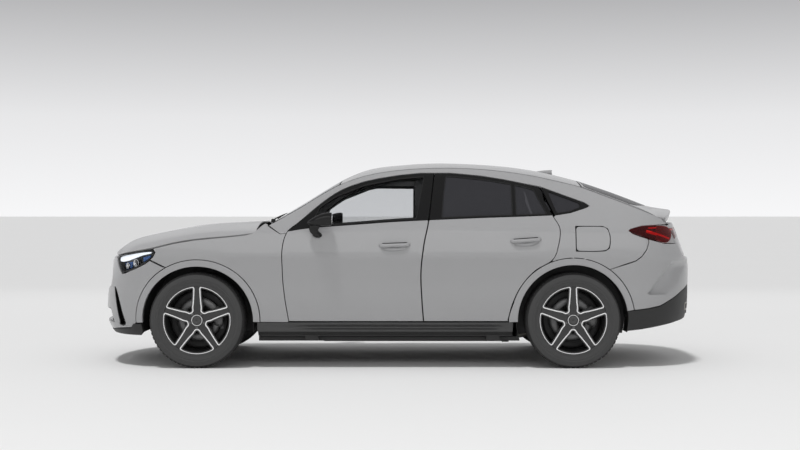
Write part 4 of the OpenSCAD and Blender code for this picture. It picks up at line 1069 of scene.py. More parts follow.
class VEHICLE_OT_roof(bpy.types.Operator):
    """Roof panel with headliner and aerial fin"""
    bl_idname = "vehicle.roof"
    bl_label = "Roof"

    def execute(self, context):
        form = Form()
        edge = rounded([(-430, -688), (1448, -688), (1449, 0), (1448, 688), (-430, 688), (-424, 0)], 14)
        form.shell(top_skin(), [edge], "paint", "headliner", step=48, radius=2.5, depth=16)
        lining = rounded([(-415, -660), (1420, -640), (1420, 640), (-415, 660)], 60)
        form.shell((lambda x, w: top_skin(46.0)[0](x, w), -1), [lining], "headliner", step=60, radius=8,
                   depth=14)
        fin = []
        for t in np.linspace(0, 1, 9):
            x0 = 1150 + 150 * t
            z0 = curve(ROOF, np.array([1150 + 130 * t]))[0] - 3
            high = 44 * t ** 0.8
            wide = 26 - 12 * t
            ring = [(x0, -wide, z0), (x0 - 4, -wide * 0.7, z0 + high * 0.6), (x0, 0, z0 + high + 1),
                    (x0 - 4, wide * 0.7, z0 + high * 0.6), (x0, wide, z0)]
            fin.append(ring)
        form.grid(np.array(fin), "paint", closed_v=True)
        form.add(np.array(fin[-1]), [(4, 3, 2, 1, 0)], "paint")
        form.make("roof_dressed", BODY, "body_paint", ("roof_panel",))
        return {"FINISHED"}


def flare(a0, a1, axle):
    """Band around a wheel arch."""
    a = np.linspace(a0, a1, 90)
    wide = FLARE_R - 3 + (18 * ease(a, 163, 181) if axle > 0 else 0 * a)
    middle = np.array([axle, WHEEL_Z])
    outer = middle + (arch(axle, 1.0, a0, a1, 90) - middle) * wide[:, None]
    return np.concatenate([outer, arch(axle, ARCH_R, a1, a0, 90)])


class VEHICLE_OT_fenders(bpy.types.Operator):
    """Front fenders, arch bands and wheel liners"""
    bl_idname = "vehicle.fenders"
    bl_label = "Fenders"

    def execute(self, context):
        z = np.linspace(1032, 361, 30)
        post = np.stack([curve(FRONT_LEAD, z) - 6, z], -1)
        wheel = arch(AXLE_F, FLARE_R + 3, -1.5, 119.5, 70)
        head = [(-1884, 833), (-1862, 850), (-1843, 888), (-1860, 912)]
        x = np.array([-1852.0, -1818, -1700, -1550, -1400, -1254, -1150])
        lid = np.stack([x, curve(BONNET_EDGE, x) - 11], -1)
        fin = [(-1100, 1034), (-1064, 1062), (-1032, 1092), (-1004, 1110), (-987, 1106), (-982, 1088),
               (-886, 1028)]
        loop = np.concatenate([post, [(-830, 353)], wheel, head, lid, fin])
        crease = np.array([(-1700.0, 867.0), (-840.0, 867.0)])
        form = Form()
        form.shell(side_skin(1), [loop], "paint", "black_plastic", depth=12, lines=(crease,))
        for side, made in (("right", form), ("left", form.mirrored())):
            made.make(f"fender_dressed_{side}", BODY, "body_paint", (f"fender_{side}",))
        band = Form()
        band.shell(side_skin(1, 4.5), [flare(-1.8, 183, AXLE_F)], "paint", "black_plastic", step=22, radius=3,
                   depth=26)
        band.shell(side_skin(1, 4.5), [flare(9.5, 181.8, AXLE_R)], "paint", "black_plastic", step=22,
                   radius=3, depth=26)
        band.join(band.mirrored())
        band.make("arch_bands", BODY, "body_paint")
        liner = Form()
        for axle, near in ((AXLE_F, 430.0), (AXLE_R, 640.0)):
            r = ARCH_R + 8

            def hollow(u, y):
                a = u / r
                return np.stack([axle + r * np.cos(a), y, WHEEL_Z + r * np.sin(a)], -1)
            a = np.radians(np.linspace(-13, 193, 70))
            far = half(axle + r * np.cos(a), WHEEL_Z + r * np.sin(a)) - 16
            edge = np.stack([a * r, far], -1)
            loop = np.concatenate([[(a[0] * r, near)], [(a[-1] * r, near)], edge[::-1]])
            liner.shell((hollow, 1), [loop], "black_plastic", step=60, radius=1, depth=3)
            wall = arc(axle, WHEEL_Z, r - 1, -16, 196, 60)

            def inner_wall(x, z):
                return np.stack([x, near + 4 + 0 * x, z], -1)
            liner.shell((inner_wall, -1), [wall], "black_plastic", step=80, radius=1, depth=3)
        liner.join(liner.mirrored())
        liner.make("wheel_liners", BODY, "black_plastic")
        return {"FINISHED"}


def front_outline(points, by="x"):
    """Outline seen from the side or the front, laid out on the nose."""
    p = np.asarray(points, float)
    s = FRONT.from_x(p[:, 0], p[:, 1]) if by == "x" else FRONT.from_y(p[:, 0], p[:, 1])
    return np.stack([s, p[:, 1]], -1)


def rear_outline(points, by="x"):
    """Outline seen from the side or the rear, laid out on the tail."""
    p = np.asarray(points, float)
    s = REAR.from_x(p[:, 0], p[:, 1]) if by == "x" else REAR.from_y(p[:, 0], p[:, 1])
    return np.stack([s, p[:, 1]], -1)


def both_ways(right):
    """Outline of a right half closed by its mirror image."""
    left = right[::-1] * [-1, 1]
    return np.concatenate([right, left])


SLIT = [(-2217, 608), (-2194, 600), (-2162, 520), (-2134, 430), (-2106, 352), (-2104, 324), (-2130, 310),
        (-2164, 320), (-2164, 350), (-2183, 420), (-2204, 520)]


class VEHICLE_OT_front_end(bpy.types.Operator):
    """Front bumper with grilles, side slits, lip and headlamps"""
    bl_idname = "vehicle.front_end"
    bl_label = "Front end"

    def execute(self, context):
        top = front_outline([(0, 843), (200, 843), (400, 841), (552, 834)], "y")
        lamp = front_outline([(-2200, 834), (-2194, 810), (-2172, 768), (-2137, 716), (-2105, 720),
                              (-2004, 760), (-1926, 797), (-1892, 822), (-1788, 774)])
        wheel = front_outline(arch(AXLE_F, FLARE_R + 3, 120.5, 183, 40))
        low = front_outline([(-2030, 322), (-2056, 304)])
        flat = front_outline([(660, 290), (500, 273), (250, 264), (0, 262)], "y")
        right = np.concatenate([top, lamp, wheel, low, flat])
        right[0, 0] = 0
        right[-1, 0] = 0
        mouth = rounded(front_outline(GRILLE, "y"), 40)
        intake = rounded(front_outline(INTAKE, "y"), 30)
        slit = smooth(front_outline(SLIT), per=5)
        form = Form()
        form.shell(FRONT.skin(), [both_ways(right)[:-1], mouth, intake, slit, slit * [-1, 1]], "paint",
                   "black_plastic", step=30, radius=4, depth=24)
        form.make("front_bumper_dressed", BODY, "body_paint", ("front_bumper",))
        back = Form()
        for loop in (mouth, intake, slit, slit * [-1, 1]):
            loop = loop if area(loop) > 0 else loop[::-1]
            back.shell(FRONT.skin(66), [inset(loop, -10)], "black_plastic", step=40, radius=1, depth=6)
            back.shell(FRONT.skin(3), [inset(loop, 1), inset(loop, 9)], "gloss_black", step=30, radius=2,
                       depth=34, tight=0.2)
        back.make("grille_surrounds", BODY, "black_plastic", ("front_grille",))
        spots = np.linspace(-500, 500, 41)
        place = FRONT.skin(34)[0](FRONT.from_y(spots, np.full_like(spots, 692)), np.full_like(spots, 692.0))
        bars = repeated("grille_bars", place, np.tile([(1.0, 0, 0)], (len(place), 1)), (16, 7, 190),
                        "gloss_black")
        settle(bars, BODY)
        heights = np.repeat([355.0, 385, 415], 23)
        across = np.tile(np.linspace(-540, 540, 23), 3)
        place = FRONT.skin(52)[0](FRONT.from_y(across, heights), heights)
        ribs = repeated("intake_ribs", place, np.tile([(1.0, 0, 0)], (len(place), 1)), (14, 44, 7),
                        "black_plastic")
        settle(ribs, BODY)
        lip = Form()
        edge = np.concatenate([front_outline([(0, 259), (250, 261), (500, 270), (660, 286)], "y"),
                               front_outline([(-2058, 298), (-2030, 334), (-1964, 334), (-1956, 300),
                                              (-1956, 262), (-1970, 243)]),
                               front_outline([(700, 241), (300, 241), (0, 241)], "y")])
        edge[0, 0] = 0
        edge[-1, 0] = 0
        lip.shell(FRONT.skin(-3), [both_ways(edge)[:-1]], "black_plastic", step=34, radius=2.5, depth=40,
                  tight=0.4)
        lip.make("front_lip", BODY, "black_plastic")
        self.lamps()
        return {"FINISHED"}

    def lamps(self):
        """Clear lenses over black bowls with daylight bars and projectors."""
        form = Form()
        edge = rounded(front_outline(LAMP_F), 10)
        edge = edge if area(edge) > 0 else edge[::-1]
        form.shell(FRONT.skin(1), [inset(edge, 2)], "lamp_glass", step=30, radius=1.5, depth=3.5)
        form.shell(FRONT.skin(52), [inset(edge, -6)], "lamp_black", step=30, radius=1, depth=6)
        form.shell(FRONT.skin(2.5), [inset(edge, 1), inset(edge, 6)], "lamp_black", step=30, radius=0.6,
                   depth=52, tight=0.1)
        form.shell(FRONT.skin(12), [smooth(front_outline(DAYLIGHT), per=4)], "lamp_white", step=20,
                   radius=2, depth=12, tight=0.4)
        for loop in ([(-2148, 800), (-2128, 750), (-2076, 764), (-2064, 812)], [(-1966, 846), (-1960, 812),
                     (-1902, 848), (-1896, 866)]):
            form.shell(FRONT.skin(40), [rounded(front_outline(loop), 8)], "lamp_blue", step=20, radius=2,
                       depth=8, tight=0.4)
        for x, z, r in ((-2016, 803, 27), (-2096, 778, 21)):
            spot = front_outline([(x, z)])
            base = FRONT.skin(46)[0](spot[:, 0], spot[:, 1])[0]
            aim = outward(FRONT.skin(46), spot)[0]
            turn = np.array(Vector(aim).to_track_quat("Z", "Y").to_matrix())
            form.spin([(r * 0.5, 0), (r, 6), (r + 3, 24), (r, 26), (r - 3, 14), (r * 0.5, 8)],
                      "bright_metal", base, turn, 32)
            dome = [(0.01, 22), (r * 0.4, 20.5), (r * 0.7, 16), (r * 0.85, 9), (0.01, 7)]
            form.spin(dome, "lamp_glass", base, turn, 32)
        form.join(form.mirrored())
        form.make("headlamps_dressed", BODY, "lamp_clear", ("headlamps",))


BONNET_EDGE = [(-2236, 850), (-2100, 880), (-1980, 902), (-1860, 927), (-1700, 966), (-1550, 991),
               (-1400, 1006), (-1254, 1019), (-1120, 1035), (-1075, 1040)]
BONNET_MID = [-2282, -2210, -2120, -2010, -1860, -1700, -1540, -1370, -1200, -1075]


def bonnet_point(x, w):
    """Bonnet skin over x on the middle line and sideways distance, 900 at the edge."""
    v = w / 900
    x = np.asarray(x, float)
    rows = list(zip(BONNET_MID, [e[0] for e in BONNET_EDGE]))
    edge_x = curve(rows, x)
    edge_z = curve(list(zip(BONNET_MID, [e[1] for e in BONNET_EDGE])), x)
    xx = x + (edge_x - x) * v * v
    wide = half(edge_x, edge_z) - 8
    z = curve(BONNET_TOP, xx)
    z = z + (edge_z - z) * np.abs(v) ** 2.6
    fold = 6.0 * np.exp(-np.abs(np.abs(v) - 0.5 - 0.12 * (x + 2282) / 1200) * 900 / 40)
    fold = fold * ease(x, -2240, -2050) * (1 - ease(x, -1300, -1080))
    return np.stack([xx, v * wide, z + fold - 4 * ease(np.abs(v), 0.3, 0.0)], -1)


class VEHICLE_OT_bonnet(bpy.types.Operator):
    """Bonnet with two folds, cowl and wipers"""
    bl_idname = "vehicle.bonnet"
    bl_label = "Bonnet"

    def execute(self, context):
        form = Form()
        edge = rounded([(-2279, -640), (-2268, -890), (-1080, -897), (-1078, 0), (-1080, 897), (-2268, 890),
                        (-2279, 640)], 18)
        x = np.linspace(-2240, -1100, 30)
        w = 900 * (0.5 + 0.12 * (x + 2282) / 1200)
        folds = (np.stack([x, w], -1), np.stack([x, -w], -1))
        form.shell((bonnet_point, 1), [edge], "paint", "black_plastic", step=38, radius=3.5, depth=17,
                   lines=folds)
        for s in (1, -1):
            y0, y1 = sorted((s * 645, s * 684))
            form.block((-1110, y0, 1028), (-1040, y1, 1046), "chassis_metal", 3)
        form.make("bonnet_dressed", "bonnet", "body_paint", ("bonnet",))
        cowl = Form()
        y = np.linspace(-700, 700, 41)
        bow = 30 * (y / 700) ** 2
        rise = 62 * (1 - (np.abs(y) / 760) ** 2.4)
        section = [(-1062, 1012, 0.0), (-1058, 1040, 0.6), (-1040, 1046, 0.75), (-1005, 1052, 0.9),
                   (-972, 1064, 1.0), (-968, 1050, 0.9), (-1000, 1020, 0.5)]
        rows = np.array([[(x + b, yy, z + r * k) for x, z, k in section] for yy, b, r in zip(y, bow, rise)])
        cowl.grid(rows[:, ::-1], "black_plastic", closed_v=True)
        n = len(section)
        cowl.add(rows[0], [tuple(range(n))], "black_plastic")
        cowl.add(rows[-1], [tuple(reversed(range(n)))], "black_plastic")
        glass = top_skin(-13.0)[0]
        for w0, w1 in ((-430.0, 60.0), (190.0, 610.0)):
            x = np.linspace(-968, -905, 12)
            w = np.linspace(w0, w1 - 60, 12)
            cowl.tube(glass(x, w), 7.0, "black_plastic", sides=10, flat=0.7)
            blade_w = np.linspace(w0 + 30, w1 + 60, 16)
            blade_x = np.interp(blade_w, [w0, w1], [-944.0, -902.0])
            cowl.tube(top_skin(-8.0)[0](blade_x, blade_w), 6.0, "seal", sides=8, flat=1.3)
            hub = glass(np.array([-972.0]), np.array([w0]))[0]
            cowl.spin([(0.01, 0), (18, 0), (18, 22), (12, 30), (0.01, 30)], "black_plastic", hub - [0, 0, 22],
                      np.eye(3), 24)
        cowl.make("cowl_and_wipers", BODY, "black_plastic", ("cowl_wipers",))
        return {"FINISHED"}


GATE_MID = [(1464, 1460), (1600, 1416), (1750, 1364), (1900, 1308), (2044, 1256), (2150, 1236), (2250, 1222)]


def gate_point(x, w):
    """Upper tailgate over x and sideways distance, 700 at the edge."""
    x = np.asarray(x, float)
    v = w / 700
    rows = [1464, 1600, 1750, 1900, 2044]
    low = [(r, float(curve(RAIL, r)) + 10) for r in rows] + [(2150, 1158), (2250, 1154)]
    wide = [(r, float(half(r, curve(RAIL, r))) - 3) for r in rows] + [(2150, 694), (2250, 672)]
    mid = curve(GATE_MID, x)
    z = mid + (curve(low, x) - mid) * np.abs(v) ** 2.3
    return np.stack([x - 140 * v * v * ease(x, 1980, 2250), v * curve(wide, x), z], -1)


def no_lift(x, y, z):
    """Plain surface without the ridge or the hollow of the body."""
    return 0 * x


def dent(x, y, z):
    """Slanted hollow of the rear bumper's corners."""
    dx, dz = 2137 - 1946, 816 - 586
    size = math.hypot(dx, dz)
    away = ((x - 1946) * dz - (z - 586) * dx) / size
    depth = 36 * ease(away, 0, 34) * (1 - ease(away, 60, 190))
    return -depth * ease(z, 556, 572) * (1 - ease(z, 770, 830))


class VEHICLE_OT_rear_end(bpy.types.Operator):
    """Tailgate, rear window, spoiler, rear bumper, lower panel and tail lamps"""
    bl_idname = "vehicle.rear_end"
    bl_label = "Rear end"

    def execute(self, context):
        gate = Form()
        edge = rounded([(1462, -690), (2000, -698), (2246, -694), (2247, 0), (2246, 694), (2000, 698),
                        (1462, 690), (1460, 0)], 10)
        side = [(2036, 170), (2000, 350), (1935, 525), (1880, 632), (1826, 682), (1640, 684), (1486, 672)]
        view = rounded([(2044, 0), *side, *[(x, -w) for x, w in reversed(side)]], 24)
        gate.shell((gate_point, 1), [edge, view], "paint", "cabin_plastic", step=40, radius=2, depth=22,
                   tight=0.5)
        v = np.linspace(-690, 690, 41)
        rows = []
        for w in v:
            top = gate_point(np.array([2160.0, 2212, 2241, 2249]), np.full(4, w))
            bow = (w / 700) ** 2
            tip = top[-1] + [4, 0, -10]
            low = np.array([2236 - 130 * bow, w * 0.955, 1172 - 60 * bow])
            inner = np.array([2206 - 110 * bow, w * 0.95, 1118 - 20 * bow])
            rows.append(np.concatenate([top - [0, 0, 1.5],
                                        [tip, low, low - [10, 0, 6], inner, inner + [-60, 0, 60]]]))
        rows = np.array(rows)
        gate.grid(rows, "paint", closed_v=True)
        n = rows.shape[1]
        gate.add(rows[0], [tuple(reversed(range(n)))], "paint")
        gate.add(rows[-1], [tuple(range(n))], "paint")
        low = [(0, 1116), (300, 1114), (560, 1104), (650, 1092), (657, 1050), (645, 965), (618, 903),
               (592, 852), (300, 852), (0, 852)]
        right = rear_outline(low, "y")
        right[0, 0] = 0
        right[-1, 0] = 0
        plate = rounded(rear_outline([(-290, 1000), (290, 1000), (270, 872), (-270, 872)], "y"), 14)
        lens = rounded(rear_outline([(640, 1074), (634, 982), (470, 1016), (404, 1056), (420, 1080)], "y"),
                       16)
        lens = lens if area(lens) > 0 else lens[::-1]
        gate.shell(REAR.skin(14), [both_ways(right)[:-1], plate, lens, lens * [-1, 1]], "paint",
                   "cabin_plastic", step=36, radius=3, depth=30, tight=0.5)
        gate.shell(REAR.skin(32), [inset(plate if area(plate) > 0 else plate[::-1], -6)], "black_plastic",
                   step=50, radius=1, depth=6)
        blank = rounded(rear_outline([(-258, 990), (258, 990), (258, 882), (-258, 882)], "y"), 8)
        gate.shell(REAR.skin(29), [blank], "blank_plate", step=60, radius=1, depth=2)
        for s in (1, -1):
            cover = inset(lens, -3) * [s, 1]
            gate.shell(REAR.skin(18), [cover], "red_glass", step=30, radius=1, depth=4, tight=0.5)
            gate.shell(REAR.skin(40), [cover], "lamp_black", step=40, radius=1, depth=4, tight=0.5)
            bar = rear_outline([(s * 620, 1058), (s * 540, 1060), (s * 440, 1062)], "y")
            gate.tube(REAR.skin(30)[0](bar[:, 0], bar[:, 1]), 6.0, "lamp_red", sides=10)
        gate.make("tailgate_dressed", "tailgate", "body_paint", ("tailgate",))
        glass = Form()
        view = view if area(view) > 0 else view[::-1]

        def raised(x, w):
            return gate_point(x, w) + [0, 0, 2]
        glass.shell((raised, 1), [inset(view, -7)], "privacy_glass", step=40, radius=0.8, depth=5, tight=0.5)
        glass.make("rear_window_dressed", "tailgate", "privacy_glass", ("rear_window",))
        self.bumper()
        return {"FINISHED"}

    def bumper(self):
        """Rear bumper, lower panel, tail lamps and tailpipes."""
        top = rear_outline([(0, 841), (300, 841), (600, 842), (627, 895), (655, 953)], "y")
        lamp = rear_outline([(2205, 951), (2086, 952), (1985, 977), (1950, 986), (1954, 966), (1934, 909),
                             (1893, 854), (1842, 818), (1762, 792)])
        wheel = rear_outline(arc(AXLE_R, WHEEL_Z, FLARE_R + 3, 54, 9.8, 34))
        low = rear_outline([(1846, 446), (1950, 458), (2045, 476), (2120, 512), (2240, 580), (2300, 612)])
        flat = rear_outline([(420, 634), (200, 638), (0, 640)], "y")
        right = np.concatenate([top, lamp, wheel, low, flat])
        right[0, 0] = 0
        right[-1, 0] = 0
        form = Form()
        fold = [rear_outline(line) for line in ([(2132, 810), (1946, 586)], [(2140, 810), (1954, 580)],
                                                [(1940, 556), (2075, 556)], [(1940, 573), (2085, 573)])]
        folds = fold + [line * [-1, 1] for line in fold]
        form.shell(REAR.skin(0, dent), [both_ways(right)[:-1]], "paint", "black_plastic", step=20, radius=3.5,
                   depth=24, lines=folds)
        form.make("rear_bumper_dressed", BODY, "body_paint", ("rear_bumper",))
        panel = Form()
        flat = rear_outline([(0, 634), (200, 632), (420, 628)], "y")
        high = rear_outline([(2300, 606), (2240, 574), (2120, 506), (2045, 470), (1950, 452), (1800, 438)])
        arch = rear_outline(arc(AXLE_R, WHEEL_Z, ARCH_R + 2, 9, -11.5, 12))
        base = rear_outline([(1793, 280), (1900, 291), (2050, 314), (2206, 340)])
        foot = rear_outline([(500, 352), (250, 356), (0, 358)], "y")
        right = np.concatenate([flat, high, arch, base, foot])
        right[0, 0] = 0
        right[-1, 0] = 0
        panel.shell(REAR.skin(3, no_lift), [both_ways(right)[:-1]], "black_plastic", step=34, radius=5,
                    depth=34)
        for side in (1, -1):
            plain, way = side_skin(side)

            def sill(x, z):
                fade = np.clip((x + 1010) / 420, 0, 1) * np.clip((900 - x) / 160, 0, 1)
                fold = 30 * fade * np.sin(math.pi * np.clip((z - 282) / 58, 0, 1)) ** 2
                spot = plain(x, z)
                spot[..., 1] -= side * (fold + 0.8 * np.clip(277 - z, 0, None))
                return spot
            panel.shell((sill, way), [rounded([(-1064, 277), (900, 277), (900, 350), (-1064, 350)], 8)],
                        "dark_trim", step=12, radius=2, depth=30)
            # The black strip under each sill is painted shade: it stands for the shadow on the sill's
            # downward-facing underside.
            panel.shell((sill, way), [rounded([(-1060, 243), (896, 243), (896, 276), (-1060, 276)], 6)],
                        "seal", step=30, radius=2, depth=26)
        for side in (1, -1):
            ring = rear_outline([(side * 330, 482), (side * 560, 482), (side * 540, 420),
                                 (side * 350, 420)], "y")
            ring = rounded(ring, 24)
            ring = ring if area(ring) > 0 else ring[::-1]
            panel.shell(REAR.skin(0, no_lift), [ring, inset(ring, 10)], "exhaust_steel", step=30, radius=2,
                        depth=20, tight=0.3)
            panel.shell(REAR.skin(2, no_lift), [inset(ring, 8)], "seal", step=40, radius=0.6, depth=6,
                        tight=0.3)
        panel.make("lower_panels", BODY, "black_plastic", ("lower_cladding",))
        spots = REAR.skin(2)[0](REAR.from_y(np.linspace(-240, 240, 7), np.full(7, 420)), np.full(7, 420.0))
        fins = repeated("diffuser_fins", spots, np.tile([(1.0, 0, 0)], (7, 1)), (16, 9, 84), "black_plastic")
        settle(fins, BODY)
        lamps = Form()
        edge = smooth(rear_outline(LAMP_R), per=4)
        edge = edge if area(edge) > 0 else edge[::-1]
        inner = rear_outline([(672, 1092), (666, 957)], "y")
        above = rear_outline([(2030, 1097), (2120, 1097)])
        below = rear_outline([(2205, 956), (2086, 957), (2020, 974)])
        lamps.shell(REAR.skin(8), [np.concatenate([above, inner, below])], "paint", step=24, radius=1,
                    depth=14, tight=0.3)
        lamps.shell(REAR.skin(0, no_lift), [edge], "red_glass", step=24, radius=2, depth=4)
        lamps.shell(REAR.skin(34, no_lift), [inset(edge, -4)], "lamp_black", step=30, radius=1, depth=6)
        for line, wide in (([(1960, 1074), (2080, 1076), (2140, 1064)], 5.0),
                           ([(1940, 1050), (2040, 1022), (2140, 988)], 11.0)):
            path = rear_outline(smooth(line, False, 6))
            lamps.tube(REAR.skin(12)[0](path[:, 0], path[:, 1]), wide, "lamp_red", sides=10, flat=0.6,
                       normal=(0.5, 0.85, 0))
        lamps.join(lamps.mirrored())
        lamps.make("tail_lamps_dressed", BODY, "lamp_red", ("tail_lamps",))


TO_RIGHT = np.array([[1.0, 0, 0], [0, 0, 1], [0, -1, 0]])
WHEELS = (("front", "left", AXLE_F, 805.0, "wheel_fl"), ("front", "right", AXLE_F, 805.0, "wheel_fr"),
          ("rear", "left", AXLE_R, 808.0, "wheel_rl"), ("rear", "right", AXLE_R, 808.0, "wheel_rr"))
RIM_R = 270.0
TYRE_R = 367.0


def spoke_edge(r, w):
    """Point beside the middle of a spoke, seen from the window next to it."""
    a = math.radians(36)
    return (r * math.cos(a) + w * math.sin(a), r * math.sin(a) - w * math.cos(a))


def spoke_window(turn):
    """Window between two spokes."""
    side = [(76, 12), spoke_edge(100, 38), spoke_edge(135, 33), spoke_edge(190, 29.5), spoke_edge(248, 27)]
    bow = [tuple(p) for p in arc(0, 0, 253, 26.5, -26.5, 15)]
    loop = rounded(side + bow + [(x, -y) for x, y in reversed(side)], 9, 4)
    t = math.radians(turn)
    spin = np.array([[math.cos(t), -math.sin(t)], [math.sin(t), math.cos(t)]])
    return loop @ spin.T


def face_skin(sink=0.0):
    """Slightly dished face of a wheel."""
    def point(u, v):
        r = np.hypot(u, v)
        high = 88 + 15 * (r / RIM_R) ** 2 + 9 * np.exp(-(r / 62) ** 4) - sink
        return np.stack([u, v, high + 0 * r], -1)
    return point, 1


def wheel_form():
    """Right-hand alloy wheel about its own axis, local z outwards."""
    form = Form()
    windows = [spoke_window(36 + 72 * k - 90) for k in range(5)]
    rim = arc(0, 0, 257.5, 0, 360, 121)[:-1]
    form.shell(face_skin(), [rim, *[inset(w, -8.8) if area(w) < 0 else inset(w[::-1],
                                                                             -8.8)[::-1] for w in windows]],
               "alloy_dark", step=15, radius=1.6, depth=34, tight=0.4)
    for w in windows:
        w = w if area(w) > 0 else w[::-1]
        form.shell(face_skin(-0.6), [inset(w, -9.0), w], "alloy_bright", step=10, radius=0.8, depth=9,
                   tight=0.05)
    lip = [(258, 70), (262, 96), (264, 105), (268, 110), (273, 109), (275, 104), (271, 98), (262, 60),
           (256, 30), (236, 10), (236, -40), (250, -92), (268, -100), (270, -108), (262, -112), (246, -100),
           (228, -46), (228, 14), (246, 40)]
    form.spin(lip, "alloy_dark", (0, 0, 0), np.eye(3), 96)
    form.spin([(258.5, 102), (258.5, 104.6), (263, 106.4), (266.5, 109.8), (269, 110.4), (268, 108),
               (262, 101)],
              "dark_trim", (0, 0, 0), np.eye(3), 96)
    cap = [(0.01, 104), (24, 103.6), (33, 102), (36.5, 98), (37, 84), (0.01, 84)]
    form.spin(cap, "dark_trim", (0, 0, 0), np.eye(3), 48)
    ring = [(36.8, 92), (38, 102.5), (41, 103), (43, 101), (43, 90)]
    form.spin(ring, "alloy_bright", (0, 0, 0), np.eye(3), 48)
    disc = [(66, -14), (172, -14), (174, -17), (174, -22), (160, -23), (160, -32), (174, -33), (174, -38),
            (172, -40), (80, -40), (78, -20), (66, -18)]
    form.spin(disc, "disc_steel", (0, 0, 0), np.eye(3), 72)
    form.spin([(30, -34), (66, -34), (70, -8), (66, 60), (60, 84), (30, 84)], "caliper", (0, 0, 0),
              np.eye(3), 48)
    return form


def tyre_form():
    """Tyre about its own axis: sidewalls with rings, shoulders and a grooved tread."""
    side = [(262, 96), (266, 108.5), (271, 111.5), (278, 111), (283, 113), (292, 118), (298, 120.6),
            (300, 122), (303, 122), (305, 121.4), (314, 123.4), (317, 124.8), (320, 124.8), (322, 124),
            (336, 123.2), (344, 120.5), (350, 116), (354.5, 110), (356.5, 106.5), (359, 104)]
    groove = []
    for y in (72.0, 25.0, -25.0, -72.0):
        groove += [(TYRE_R - 4.0 + 2.5 * (1 - (abs(y) / 96) ** 2), y + 5.5), (TYRE_R - 9.5, y + 4.2),
                   (TYRE_R - 9.5, y - 4.2), (TYRE_R - 4.0 + 2.5 * (1 - (abs(y) / 96) ** 2), y - 5.5)]
    tread = [(TYRE_R - 6, 98)] + groove + [(TYRE_R - 6, -98)]
    profile = side + tread + [(r, -y) for r, y in reversed(side)] + [(236.6, -60), (236.6, 10), (252, 90)]
    form = Form()
    labels = ["tread" if r > 346 or r < 260 else "rubber" for r, _ in profile]
    form.spin(profile, labels, (0, 0, 0), np.eye(3), 120)
    return form


class VEHICLE_OT_wheels(bpy.types.Operator):
    """Alloy wheels with discs and bolts, and tyres with tread"""
    bl_idname = "vehicle.wheels"
    bl_label = "Wheels and tyres"

    def execute(self, context):
        for end, side, x, y, body in WHEELS:
            flip = 1 if side == "right" else -1
            alloy = wheel_form()
            alloy.turned(TO_RIGHT, (x, y, WHEEL_Z))
            tyre = tyre_form()
            tyre.turned(TO_RIGHT, (x, y, WHEEL_Z))
            if flip < 0:
                alloy = alloy.mirrored()
                tyre = tyre.mirrored()
            alloy.make(f"alloy_{end}_{side}", body, "wheel_alloy", (f"wheel_{end}_{side}",))
            tyre.make(f"tyre_dressed_{end}_{side}", body, "tyre", (f"tyre_{end}_{side}",))
            a = np.radians(np.arange(5) * 72 + 54)
            spots = np.stack([x + 57 * np.cos(a), np.full(5, flip * (y + 98)), WHEEL_Z + 57 * np.sin(a)], -1)
            bolts = repeated(f"wheel_bolts_{end}_{side}", spots, np.tile([(0.0, flip, 0)], (5, 1)),
                             (20, 10, 0), "disc_steel", 6)
            settle(bolts, body)
            spots = []
            aims = []
            for row, across in enumerate((-85.0, -48.5, 0.0, 48.5, 85.0)):
                count = 64 if abs(across) > 80 else 80
                a = np.linspace(0, 2 * math.pi, count, endpoint=False) + 0.02 * row
                r = TYRE_R - 5.4 - 0.75 * (abs(across) / 48.5) ** 2
                spots.append(np.stack([x + r * np.cos(a), np.full(count, flip * y + across),
                                       WHEEL_Z + r * np.sin(a)], -1))
                aims.append(np.stack([-np.sin(a), 0 * a, np.cos(a)], -1))
            blocks = repeated(f"tread_{end}_{side}", np.concatenate(spots), np.concatenate(aims), (21, 31, 9),
                              "tread")
            settle(blocks, body)
        return {"FINISHED"}


def brake_form():
    """Brake caliper in front of the disc, and the plate behind it, about the wheel's axis."""
    form = Form()
    rows = []
    for t in np.linspace(-1, 1, 15):
        a = math.radians(8 + 27 * t)
        out = 190 - 10 * t ** 4
        inn = 112 + 16 * t ** 4
        top = 30 - 14 * t ** 4
        ring = [(inn, -8), (out, -8), (out + 4, 2), (out + 2, top - 8), (out - 12, top), (inn + 26, top + 1),
                (inn + 6, top - 8)]
        rows.append([(r * math.cos(a), -r * math.sin(a), h) for r, h in ring])
    rows = np.array(rows)
    form.grid(rows, "caliper", closed_v=True)
    n = rows.shape[1]
    form.add(rows[0], [tuple(reversed(range(n)))], "caliper")
    form.add(rows[-1], [tuple(range(n))], "caliper")
    form.spin([(60, -56), (214, -56), (221, -48), (221, -45), (212, -52), (60, -52)], "black_plastic",
              (0, 0, 0), np.eye(3), 64)
    form.spin([(70, -124), (240, -124), (254, -119), (254, -116), (240, -120), (70, -120)], "black_plastic",
              (0, 0, 0), np.eye(3), 64)
    return form


class VEHICLE_OT_brakes(bpy.types.Operator):
    """Brake calipers and the plates behind the discs"""
    bl_idname = "vehicle.brakes"
    bl_label = "Brakes"

    def execute(self, context):
        for end, side, x, y, _ in WHEELS:
            form = brake_form()
            form.turned(TO_RIGHT, (x, y, WHEEL_Z))
            if side == "left":
                form = form.mirrored()
            form.make(f"brake_{end}_{side}", f"steer_{side}" if end == "front" else BODY, "chassis_metal")
        return {"FINISHED"}


